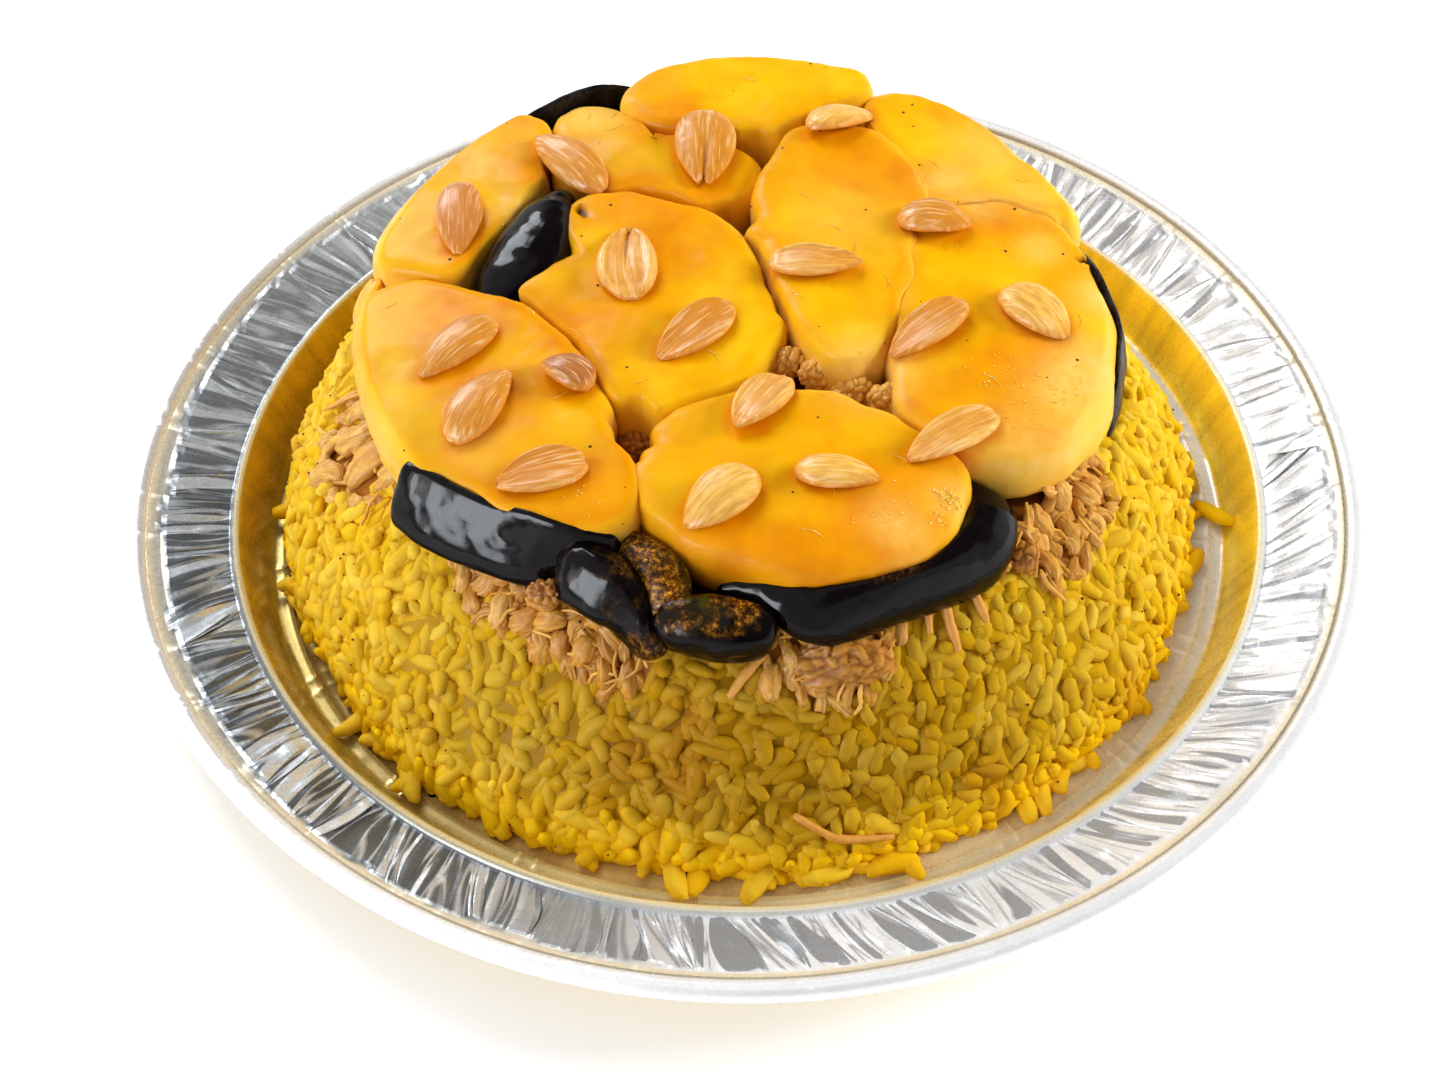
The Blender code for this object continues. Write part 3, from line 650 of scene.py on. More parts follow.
# By direction: tint of the wall, where oil and rice juice soak it, lighter or darker by side as painted reflection and
# shade; tint of the pleats, a painted reflection, dark grey at the left and white at the right;
# tint of their fine creases, painted highlights at the left and painted shade elsewhere; how metallic the pleats, the
# wall and the floor are; tint of the floor, partly painted reflection and shade.
WALL_OIL_AND_PAINTED_LIGHT = ((-180, (0.62, 0.38, 0.016)), (-160, (0.62, 0.39, 0.018)), (-140, (0.66, 0.46, 0.05)), (-122, (0.56, 0.43, 0.09)), (-100, (0.96, 0.76, 0.20)),
             (-80, (1.0, 0.80, 0.21)), (-55, (1.0, 0.74, 0.16)), (-20, (0.98, 0.74, 0.05)), (20, (0.98, 0.74, 0.04)), (60, (0.94, 0.68, 0.04)),
             (110, (0.86, 0.56, 0.03)), (150, (0.74, 0.48, 0.02)), (180, (0.62, 0.38, 0.016)))
PLEAT_PAINTED_REFLECTION = ((-180, (0.165, 0.19, 0.215)), (-150, (0.15, 0.17, 0.19)), (-132, (0.11, 0.125, 0.14)), (-112, (0.16, 0.175, 0.185)), (-92, (0.90, 0.91, 0.91)),
              (-62, (0.87, 0.87, 0.87)), (-35, (1.0, 1.0, 1.0)), (0, (0.98, 0.98, 0.98)), (55, (0.92, 0.92, 0.91)), (95, (0.76, 0.77, 0.78)),
              (140, (0.40, 0.42, 0.45)), (180, (0.22, 0.25, 0.28)))
CREASE_PAINTED_LIGHT = ((-180, (0.72, 0.78, 0.84)), (-140, (0.70, 0.75, 0.80)), (-118, (0.66, 0.68, 0.70)), (-104, (0.28, 0.29, 0.30)), (-60, (0.35, 0.36, 0.37)),
             (-20, (0.40, 0.41, 0.43)), (60, (0.42, 0.42, 0.43)), (120, (0.50, 0.50, 0.52)), (160, (0.72, 0.78, 0.84)), (180, (0.72, 0.78, 0.84)))
METALLIC = ((-180, (0.50, 0.34, 0.60)), (-140, (0.55, 0.32, 0.55)), (-110, (0.42, 0.26, 0.44)), (-85, (0.16, 0.12, 0.26)), (-55, (0.22, 0.20, 0.20)),
            (-20, (0.42, 0.36, 0.12)), (60, (0.50, 0.38, 0.16)), (120, (0.55, 0.38, 0.55)), (180, (0.50, 0.34, 0.60)))
FLOOR_TINT_AND_PAINTED_LIGHT = ((-180, (0.34, 0.24, 0.06)), (-150, (0.46, 0.34, 0.10)), (-110, (0.80, 0.62, 0.26)), (-60, (0.98, 0.86, 0.58)), (-25, (1.0, 0.95, 0.86)), (-10, (0.92, 0.94, 1.0)),
              (40, (0.86, 0.86, 0.84)), (120, (0.74, 0.54, 0.16)), (180, (0.20, 0.12, 0.012)))


def slope_z(radius):
    """Height of the rim between the inner lip and the bead, without its pleats."""
    return FLUTE_IN_Z + (radius - FLUTE_IN_R - 1.5) * (FLUTE_OUT_Z - FLUTE_IN_Z) / (FLUTE_OUT_R - FLUTE_IN_R - 1.5)


def pleat_lines():
    """Turn of each fold line at the pleats' inner and outer end, how high it stands, and where it starts and stops."""
    source = np.random.default_rng(31)
    gaps = source.uniform(0.6, 1.5, PLEATS) * np.where(np.arange(PLEATS) % 2, 0.72, 1.28)
    inner = np.cumsum(gaps / gaps.sum()) * 2 * math.pi
    step = 2 * math.pi / PLEATS
    sway = sum(source.uniform(0.3, 0.9) * np.sin(k * inner + source.uniform(0, 6.28)) for k in (5, 9, 17, 29, 41, 53))
    outer = inner + step * (1.3 * sway + source.normal(0, 0.6, PLEATS))
    outer = np.maximum.accumulate(outer + np.arange(PLEATS) * 1e-4)
    side = np.where(np.arange(PLEATS) % 2, -1.0, 0.85)
    height = side * source.uniform(0.18, 0.46, PLEATS)
    wild = source.uniform(0, 1, PLEATS)
    height = np.where(wild < 0.10, 0.3 * height, height)
    begin = source.uniform(0.0, 0.10, PLEATS) + np.where(source.uniform(0, 1, PLEATS) < 0.15, 0.3, 0)
    end = source.uniform(0.80, 0.97, PLEATS) - np.where(source.uniform(0, 1, PLEATS) < 0.12, 0.25, 0)
    bow = source.normal(0, 0.45, PLEATS) * step
    return inner, outer, height, begin, end, bow


def by_direction(turn, table):
    directions, values = zip(*table)
    values = np.array(values, float).reshape(len(values), -1)
    turn = (np.degrees(turn) + 180) % 360 - 180
    return np.stack([np.interp(turn, directions, column) for column in values.T], -1)


def make_platter_mesh(look):
    inner, outer, height, begin, end, bow = pleat_lines()
    fold = np.repeat(np.arange(PLEATS), PLEAT_COLUMNS)
    part = np.tile(np.arange(PLEAT_COLUMNS) / PLEAT_COLUMNS, PLEATS)
    after = (fold + 1) % PLEATS

    def columns(share):
        """Turn and pleat height of every mesh column at a share of the pleats' length."""
        line = inner + (outer - inner) * share + bow * math.sin(math.pi * share)
        line = np.maximum.accumulate(line)
        rise = height * smooth(begin, begin + 0.12, share) * (1 - smooth(end - 0.30, end, share))
        nexts = line[after] + np.where(fold == PLEATS - 1, 2 * math.pi, 0)
        turn = line[fold] + (nexts - line[fold]) * part
        return turn, rise[fold] + (rise[after] - rise[fold]) * part

    def ribs(turn, radius):
        """Raised double ribs across the floor's edge."""
        off = (turn * RIB_TURNS / (2 * math.pi) + 0.36 + 0.5) % 1 - 0.5
        off = off * 2 * math.pi / RIB_TURNS * radius
        line = np.exp(-((np.abs(off) - 2.2) / 0.62) ** 2)
        return 0.42 * line * math.exp(-((radius - 116.5) / 4.0) ** 4)

    rings, kinds, folds = [], [], []
    at_start, _ = columns(0.0)

    def ring(radius, z, share=0.0, crimp=0.0, floor=False, kind=0):
        turn, rise = columns(share)
        folds.append(np.c_[0.146 * np.cos(at_start), 0.146 * np.sin(at_start), np.full(len(turn), 0.00016 * radius * 1.0)])
        x, y = radius * np.cos(turn), radius * np.sin(turn)
        level = z + crimp * rise
        if floor:
            level = level + ribs(turn, radius)
            level = level + 0.10 * noise(np.c_[x, y], 15.0, 3)
        else:
            level = level + 0.07 * noise(np.c_[x, y], 9.0, 4)
            if kind == 1:
                wobble = 0.30 * noise(np.c_[10 * np.cos(turn * 1.0), 10 * np.sin(turn), np.full(len(turn), radius * 0.4)], 1.2, 12)
                x, y = x + wobble * np.cos(turn), y + wobble * np.sin(turn)
        if radius > 140:
            # The rim flares a little at the left.
            flare = 2.2 * np.exp(-(turn_gap(np.degrees(turn), 188) / 34.0) ** 2) * (radius - 140) / 12.0
            x, y = x + flare * np.cos(turn), y + flare * np.sin(turn)
        rings.append(np.c_[x, y, level])
        kinds.append(np.full(len(turn), kind))

    for radius in (30, 60, 88, 100, 106, 110, 112, 113.5, 115.0, 116.2, 117.0, 117.5, 118.0, 118.5, 119.0, 119.8, 120.8):
        ring(radius, FOIL + 0.55 * math.exp(-((radius - RING_R) / 0.5) ** 2) - 0.25 * float(smooth(117.6, 118.6, radius)), floor=True)
    for radius, z in ((121.5, 1.15), (122.2, 1.7), (122.8, 2.6), (123.4, 4.0), (124.2, 6.1), (125.1, 8.4), (126.0, 10.6),
                      (126.8, 12.4), (127.4, 13.5)):
        ring(radius, z, kind=1)
    for radius, z in ((127.9, 14.05), (128.5, 14.25), (129.1, 14.0), (129.6, 13.35)):
        ring(radius, z, kind=2)
    for share in np.linspace(0, 1, 15):
        radius = PLEAT_IN_R + (PLEAT_OUT_R - PLEAT_IN_R) * share
        ring(radius, slope_z(radius), share, 1.0, kind=3)
    for radius, z in ((146.8, 19.2), (147.3, 19.35), (147.7, 18.9)):
        ring(radius, z, 1.0, kind=4)
    for angle in np.radians(np.linspace(168, -128, 15)):
        ring(BEAD_CENTRE[0] + BEAD_R * math.cos(angle), BEAD_CENTRE[1] + BEAD_R * math.sin(angle), 1.0, kind=5)
    ring(148.0, 17.4, 1.0)
    for share in (1.0, 0.75, 0.5, 0.25, 0.0):
        radius = PLEAT_IN_R + (PLEAT_OUT_R - PLEAT_IN_R) * share
        ring(radius, slope_z(radius) - SHEET, share, 1.0)
    for radius, z in ((129.0, 13.3), (128.2, 13.2), (127.4, 11.8), (126.0, 8.8), (124.6, 5.2), (123.4, 2.2), (122.4, 0.7), (121.0, 0.12),
                      (110, 0.12), (60, 0.12)):
        ring(radius, z)
    points, quads, tris = capped(np.array(rings), (0, 0, FOIL), (0, 0, 0.12))
    points[:, 2] = np.maximum(points[:, 2], 0.02)
    kind = np.append(np.concatenate(kinds), (0, 0))
    fold = np.concatenate([*folds, np.zeros((2, 3))])
    turn = np.arctan2(points[:, 1], points[:, 0])
    reach = np.hypot(points[:, 0], points[:, 1])
    metallic = by_direction(turn, METALLIC)
    tones = np.ones((len(points), 4))
    # Partly painted reflection and shade: the floor's tint runs by direction from dark gold at the left and back to
    # near white at the right.
    tones[:, :3] = by_direction(turn, FLOOR_TINT_AND_PAINTED_LIGHT) * (0.92 + 0.10 * noise(points, 14.0, 15))[:, None]
    tones[:, 3] = metallic[:, 2]
    streaks = 0.86 + 0.16 * noise(np.c_[26 * np.cos(turn), 26 * np.sin(turn)], 1.0, 9) + 0.16 * noise(np.c_[70 * np.cos(turn), 70 * np.sin(turn)], 1.0, 10)
    # Painted light on the wall: its tint is the oil's gold, set lighter or darker by direction as painted reflection
    # and shade.
    wall_oil_and_light = (kind == 1) * smooth(120.9, 122.0, reach)
    tones[:, :3] = blend(tones[:, :3], by_direction(turn, WALL_OIL_AND_PAINTED_LIGHT) * streaks[:, None], wall_oil_and_light)
    tones[:, 3] = blend(tones[:, 3:4], metallic[:, 1:2], wall_oil_and_light)[:, 0]
    # The inner lip takes the pleats' painted reflection tint, with a gold line along it.
    tones[kind == 2, :3] = blend(0.8 * by_direction(turn, PLEAT_PAINTED_REFLECTION) + 0.06, (0.88, 0.72, 0.38), np.exp(-((reach - 128.2) / 0.8) ** 2))[kind == 2]
    tones[kind == 2, 3] = 0.2
    pleated = kind == 3
    # Painted reflection: the pleats are tinted dark grey at the left and white at the right.
    tones[pleated, :3] = by_direction(turn, PLEAT_PAINTED_REFLECTION)[pleated]
    tones[pleated, 3] = metallic[pleated, 0]
    # The pale shoulder ends raggedly among the pleats.
    border = 145.4 + 0.8 * noise(np.c_[146 * np.cos(turn), 146 * np.sin(turn)], 3.0, 16) + 0.7 * noise(np.c_[146 * np.cos(turn), 146 * np.sin(turn)], 9.0, 17)
    shoulder = pleated * smooth(border - 0.4, border + 0.4, reach)
    tones[:, :3] = blend(tones[:, :3], (0.90, 0.86, 0.76), 0.85 * shoulder)
    tones[kind == 4, :3] = (0.86, 0.74, 0.52)
    tones[kind == 4, 3] = 0.25
    bead = kind == 5
    tones[bead, :3] = (0.95, 0.95, 0.95)
    tones[bead, 3] = 0.30
    # Painted shade: a dark grey line on the bead's inner side, where it meets the shoulder.
    inner_line = bead * (1 - smooth(147.9, 148.6, reach)) * (points[:, 2] > 17)
    tones[:, :3] = blend(tones[:, :3], (0.34, 0.32, 0.28), 0.8 * inner_line)
    open_part = pleated * smooth(129.7, 130.4, reach) * (1 - smooth(border - 0.8, border, reach))
    # How strongly the leaf patches and crease lines show by direction; they carry the painted highlights and shade of
    # the crease tint.
    bold = by_direction(turn, ((-180, 0.52), (-125, 0.50), (-108, 0.64), (-85, 0.74), (-60, 0.68), (-40, 0.56), (-15, 0.46), (10, 0.44), (45, 0.62), (80, 0.74), (120, 0.66), (150, 0.54), (180, 0.52)))[:, 0]
    fine = by_direction(turn, ((-180, 0.75), (-120, 0.8), (-90, 0.85), (-40, 0.6), (30, 0.55), (120, 0.6), (180, 0.75)))[:, 0]
    folds = np.c_[fold, bold * open_part]
    lines = np.c_[by_direction(turn, CREASE_PAINTED_LIGHT), fine * open_part]
    piece("platter_foil", points, quads, tris, look, np.clip(tones, 0, 1), ("platter",), crease=26, extra={"fold": folds, "line": lines})


# ---------------------------------------------------------------- rice

# Height above which chicken shows at the mound's side, by direction.
CHICKEN_SHOWS = (
    (-180, 60), (-177, 43), (-170, 38), (-163, 38), (-153, 43), (-147, 50), (-142, 53), (-136, 46), (-131, 42.5), (-124, 41.5),
    (-118, 39.5), (-112, 36.5), (-107, 35.5), (-103, 40), (-101.5, 60), (-88.5, 60), (-88, 44), (-84, 39.5), (-79, 36.8),
    (-73, 36.8), (-68, 42), (-66.5, 60), (-51, 60), (-50, 51), (-44, 45), (-41, 37.5), (-35, 37), (-28, 39), (-21, 38),
    (-17, 50), (-15, 60), (25, 60), (28, 44), (40, 40), (50, 45), (53, 60), (80, 60), (84, 43), (100, 41), (110, 46),
    (113, 60), (140, 60), (144, 45), (155, 41), (165, 44), (168, 60), (180, 60),
)
SIDE_TOP_Z = 54.0
# Brown stains in the rice: direction, height, radius.
STAINS = ((-96.6, 32.7, 6.0), (-105.1, 25.4, 5.0), (-97.4, 23.0, 4.5), (-60.0, 12.0, 6.0), (-38.0, 8.0, 7.0), (178.0, 20.0, 6.0), (70.0, 25.0, 7.0))
GRAIN_ROW = 2.95         # between two rows of grains up the side
GRAIN_STEP = 3.75         # between two grains of a row


def side_table():
    turns = np.linspace(-math.pi, math.pi, 361)
    heights = np.linspace(RICE_FOOT_Z, SIDE_TOP_Z, 54)
    table = np.zeros((len(turns), len(heights)))
    for i, turn in enumerate(turns):
        edge = rice_radius(turn, RICE_TOP_Z)
        meat = 89.0 + (BED_CENTRE[0] - RICE_CENTRE[0]) * math.cos(turn) + (BED_CENTRE[1] - RICE_CENTRE[1]) * math.sin(turn)
        for j, height in enumerate(heights):
            if height <= RICE_TOP_Z:
                table[i, j] = rice_radius(turn, height)
            else:
                share = float(smooth(RICE_TOP_Z, RICE_TOP_Z + 12, height))
                table[i, j] = edge + (meat - 0.25 * (height - RICE_TOP_Z) - edge) * share
    return turns, heights, table


SIDE_TURNS, SIDE_HEIGHTS, SIDE = side_table()


def side_reach(turn, height):
    """Radius of the mound's side about the rice's middle."""
    turn = (np.asarray(turn) + math.pi) % (2 * math.pi) - math.pi
    i = (turn + math.pi) / (SIDE_TURNS[1] - SIDE_TURNS[0])
    j = (np.clip(height, RICE_FOOT_Z, SIDE_TOP_Z) - SIDE_HEIGHTS[0]) / (SIDE_HEIGHTS[1] - SIDE_HEIGHTS[0])
    a, b = np.minimum(i.astype(int), 359), np.minimum(j.astype(int), 52)
    i, j = i - a, j - b
    return (SIDE[a, b] * (1 - i) * (1 - j) + SIDE[a + 1, b] * i * (1 - j) + SIDE[a, b + 1] * (1 - i) * j + SIDE[a + 1, b + 1] * i * j)


def on_side(turn, height):
    """Points of the mound's side, and there the way outwards, along and up it."""
    reach = side_reach(turn, height)
    point = np.c_[RICE_CENTRE[0] + reach * np.cos(turn), RICE_CENTRE[1] + reach * np.sin(turn), height]
    along = np.c_[-np.sin(turn), np.cos(turn), np.zeros_like(turn)]
    drop = (side_reach(turn, height + 1.0) - side_reach(turn, height - 1.0)) / 2
    up = np.c_[drop * np.cos(turn), drop * np.sin(turn), np.ones_like(turn)]
    up /= np.linalg.norm(up, axis=1)[:, None]
    return point, np.cross(along, up), along, up


def chicken_from(turn):
    directions, heights = zip(*CHICKEN_SHOWS)
    return np.interp((np.degrees(turn) + 180) % 360 - 180, directions, heights)


def grain_rows(source):
    """Turn and height of each grain on the mound's side, in uneven rows."""
    turns, heights = [], []
    height = 2.6
    while height < SIDE_TOP_Z - 2.0:
        count = int(2 * math.pi * float(side_reach(np.array([0.0]), np.array([height]))[0]) / GRAIN_STEP)
        turn = (np.arange(count) + source.uniform(-0.55, 0.55, count)) * 2 * math.pi / count + source.uniform(0, 1)
        turns.append(turn)
        heights.append(height + source.uniform(-1.4, 1.4, count))
        slope = abs(float(side_reach(np.array([0.0]), np.array([height + 2]))[0]) - float(side_reach(np.array([0.0]), np.array([height]))[0])) / 2
        height += GRAIN_ROW / math.hypot(1, slope)
    return np.concatenate(turns), np.maximum(np.concatenate(heights), 2.1)


GRAIN_POINTS = 32


def grains(centres, axes, sides, lengths, widths, flat, bend, taper):
    """Points and faces of many rice grains: rounded at both ends, a little bent and thicker at one end."""
    places = np.array([-0.90, -0.52, 0.0, 0.52, 0.90])
    full = np.array([0.62, 0.93, 1.0, 0.93, 0.60])
    angles = np.radians(30 + 60 * np.arange(6))
    tops = np.cross(axes, sides)
    count = len(centres)
    points = np.zeros((count, GRAIN_POINTS, 3))
    for r, (place, wide) in enumerate(zip(places, full)):
        swell = wide * (1 + taper * place)
        middle = centres + axes * (lengths * 0.5 * place)[:, None] + sides * (bend * place * place)[:, None]
        for k, angle in enumerate(angles):
            points[:, r * 6 + k] = (middle + sides * (widths * 0.5 * swell * math.cos(angle))[:, None]
                                    + tops * (widths * 0.5 * flat * swell * math.sin(angle))[:, None])
    flatly = points[:, :30].reshape(-1, 3)
    jog = np.c_[noise(flatly, 3.6, 91), noise(flatly, 3.6, 92), noise(flatly, 3.6, 93)]
    points[:, :30] += 0.42 * jog.reshape(count, 30, 3)
    points[:, 30] = centres - axes * (lengths * 0.5)[:, None] + sides * bend[:, None]
    points[:, 31] = centres + axes * (lengths * 0.5)[:, None] + sides * bend[:, None]
    k = np.arange(6)
    after = (k + 1) % 6
    quads = np.concatenate([np.c_[r * 6 + k, r * 6 + after, r * 6 + 6 + after, r * 6 + 6 + k] for r in range(4)])
    tris = np.concatenate([np.c_[after, k, np.full(6, 30)], np.c_[24 + k, 24 + after, np.full(6, 31)]])
    quads, tris = wound(points[0], quads, tris)
    step = (np.arange(count) * GRAIN_POINTS)[:, None, None]
    return points.reshape(-1, 3), (quads[None] + step).reshape(-1, 4), (tris[None] + step).reshape(-1, 3)


def unit(vectors):
    return vectors / np.linalg.norm(vectors, axis=-1)[..., None]


def rice_tone(source, points, turn, count):
    """Colour of each grain."""
    base = np.array(srgb(232, 186, 22))
    tones = np.repeat(base[None], count, 0)
    tones = blend(tones, srgb(250, 220, 90), np.clip(source.normal(0.20, 0.20, count), 0, 0.7))
    tones = blend(tones, srgb(214, 158, 20), np.clip(source.normal(0.05, 0.13, count), 0, 0.45))
    drift = noise(points, 16.0, 41)
    tones = blend(tones, srgb(218, 176, 12), np.clip(0.35 * drift, 0, 0.4))
    # Painted shade: the grains on the front of the mound, under the overhang, are darker.
    front = np.clip(np.cos(turn + math.radians(84)), 0, 1) ** 2.6 * smooth(8.0, 20.0, points[:, 2])
    tones = tones * (1 - 0.50 * front[:, None] * np.array((0.85, 1.0, 1.25)))
    # Painted light: towards the foot the grains are brighter and yellower.
    low = 1 - smooth(4.0, 14.0, points[:, 2])
    tones = blend(tones, srgb(250, 204, 14), 0.95 * low)
    # Painted light: the grains at the left are lightened, most near the foot.
    left = np.exp(-(turn_gap(np.degrees(turn), -150) / 42.0) ** 2)
    tones = tones * (1 + (0.02 + 0.20 * (1 - smooth(4.0, 16.0, points[:, 2]))) * left)[:, None]
    for direction, height, radius in STAINS:
        away = np.hypot(np.radians(turn_gap(np.degrees(turn), direction)) * 100, points[:, 2] - height)
        tones = blend(tones, srgb(176, 108, 22), 0.55 * np.exp(-(away / radius) ** 2))
    return np.c_[tones / np.maximum(1, tones.max(1) / 0.96)[:, None], np.ones(count)]


def make_rice_heap(look, core_look):
    source = np.random.default_rng(101)
    turn, height = grain_rows(source)
    shows = chicken_from(turn)
    pale = (np.degrees(turn) + 360) % 360
    loose_cover = (pale > 181) & (pale < 216) & (source.uniform(0, 1, len(turn)) < 0.42)
    kept = (height < shows + source.uniform(-1.5, 1.5, len(turn))) | loose_cover
    turn, height = turn[kept], height[kept]
    point, out, along, up = on_side(turn, height)
    count = len(turn)
    lean = source.normal(0, 0.8, count)
    lean = np.where(source.uniform(0, 1, count) < 0.35, source.uniform(0, math.pi, count), lean)
    axes = up * np.cos(lean)[:, None] + along * np.sin(lean)[:, None] + out * source.normal(0, 0.30, count)[:, None]
    axes = unit(axes)
    sides = unit(np.cross(axes, out) + 0.20 * source.normal(0, 1, (count, 3)))
    sides = unit(sides - axes * (sides * axes).sum(1)[:, None])
    lengths = source.uniform(6.8, 12.0, count)
    widths = source.uniform(3.1, 5.1, count)
    centres = point + out * source.uniform(-2.3, -1.3, count)[:, None]
    heap = Heap()
    shape = grains(centres, axes, sides, lengths, widths, 0.80, source.normal(0, 0.7, count), source.uniform(-0.30, 0.30, count))
    tones = np.repeat(rice_tone(source, point, turn, count), GRAIN_POINTS, 0)
    shape[0][:, 2] = np.maximum(shape[0][:, 2], FOIL + 0.25)
    heap.add(*shape, tones)

    # Loose grains round the foot: direction, distance past the foot, length, width.
    more = source.uniform(0, 360, 110)
    loose = [(d, source.uniform(-4.0, 0.2), source.uniform(8, 12), source.uniform(3.4, 5.0)) for d in more]
    loose += [(-54, 0.5, 12, 5.0), (-73.5, 1.0, 13, 5.6), (-94.8, 1.0, 12, 5.4), (-88, 0.0, 14, 5.6), (-80.3, 0.0, 14, 5.4),
              (-131, 0.5, 14, 5.5), (-141.6, 2.0, 12, 4.6), (-97.5, 1.0, 15, 5.6), (-71.6, 1.5, 12, 5.0), (-13.3, 1.0, 13, 5.0), (3, 1.0, 12, 4.8)]
    turns = np.radians([item[0] for item in loose])
    reach = side_reach(turns, np.full(len(loose), 3.0)) + np.array([item[1] for item in loose])
    widths = np.array([item[3] for item in loose])
    centres = np.c_[RICE_CENTRE[0] + reach * np.cos(turns), RICE_CENTRE[1] + reach * np.sin(turns), FOIL + 0.42 * widths + 0.3]
    lean = source.uniform(0, math.pi, len(loose))
    axes = unit(np.c_[np.cos(lean), np.sin(lean), source.normal(0, 0.14, len(loose))])
    sides = unit(np.cross(axes, (0, 0, 1)))
    shape = grains(centres, axes, sides, np.array([item[2] for item in loose]), widths, 0.8,
                   source.normal(0, 0.9, len(loose)), source.uniform(-0.3, 0.3, len(loose)))
    shape[0][:, 2] = np.maximum(shape[0][:, 2], FOIL + 0.25)
    tone = blend(np.repeat(np.array([srgb(242, 190, 10)]), len(loose), 0), srgb(250, 216, 70), source.uniform(0, 0.6, len(loose)))
    heap.add(*shape, np.repeat(np.c_[tone, np.ones(len(loose))], GRAIN_POINTS, 0))
    # One grain alone on the platter, leaning on the wall.
    shape = grains(np.array([[118.8, -8.2, 3.6]]), unit(np.array([[0.62, -0.74, 0.24]])), unit(np.array([[0.74, 0.62, 0.0]])),
                   np.array([13.5]), np.array([4.2]), 0.85, np.array([0.8]), np.array([0.05]))
    heap.add(*shape, (*srgb(246, 204, 14), 1))
    heap.made("rice_grains", look, ("rice",), "rice")

    # The heap under the grains.
    turns = np.linspace(0, 2 * math.pi, 360, endpoint=False)
    rings = []
    for height in np.linspace(FOIL + 0.3, SIDE_TOP_Z - 6, 46):
        level = np.full(360, height)
        point, out, _, _ = on_side(turns, level)
        dent = 1.55 + 0.8 * noise(point, 4.0, 5) + 0.5 * np.abs(noise(point, 2.4, 6))
        dent = dent + 1.4 * smooth(chicken_from(turns) - 1, chicken_from(turns) + 2, height)
        rings.append(point - np.c_[out[:, :2] * dent[:, None], np.zeros(360)])
    top = rings[-1].copy()
    for share in (0.9, 0.6, 0.3):
        rings.append(np.c_[top[:, :2] * share + np.array(RICE_CENTRE) * (1 - share), top[:, 2] - 1])
    points, quads, tris = capped(np.array(rings), (*RICE_CENTRE, FOIL + 0.3), (*RICE_CENTRE, SIDE_TOP_Z - 7))
    turn = np.arctan2(points[:, 1] - RICE_CENTRE[1], points[:, 0] - RICE_CENTRE[0])
    tones = rice_tone(source, points, turn, len(points))
    # Painted shade: the core, seen only between the grains, is darkened.
    tones[:, :3] *= np.array((0.68, 0.62, 0.12))
    meaty = smooth(chicken_from(turn) - 1, chicken_from(turn) + 2, points[:, 2])
    tones[:, :3] = blend(tones[:, :3], srgb(176, 112, 46), meaty)
    piece("rice_core", points, quads, tris, core_look, tones, ("rice",))


# ---------------------------------------------------------------- chicken

def strand(path, radius, source, sides=6, rings=8):
    """A fibre along a path of points."""
    path = open_curve(path, rings)
    ahead = unit(np.gradient(path, axis=0))
    side = unit(np.cross(ahead, (0.3, 0.2, 1.0)))
    top = np.cross(ahead, side)
    angles = np.arange(sides) * 2 * math.pi / sides
    wide = radius * np.sin(np.linspace(0.42, math.pi - 0.42, rings)) ** 0.45 * source.uniform(0.84, 1.16, rings)
    grid = (path[:, None] + side[:, None] * (wide[:, None] * np.cos(angles))[..., None]
            + top[:, None] * (wide[:, None] * np.sin(angles))[..., None])
    return capped(grid, path[0] - ahead[0] * 0.3 * radius, path[-1] + ahead[-1] * 0.3 * radius)


def meat_tone(source, count=1, brown=0.0):
    tone = np.repeat(np.array([srgb(232, 172, 64)]), count, 0)
    tone = blend(tone, srgb(248, 204, 112), np.clip(source.normal(0.20, 0.24, count), 0, 0.8))
    tone = blend(tone, srgb(176, 114, 46), np.clip(source.normal(0.10 + brown, 0.20, count), 0, 0.85))
    return np.c_[tone, np.ones(count)]


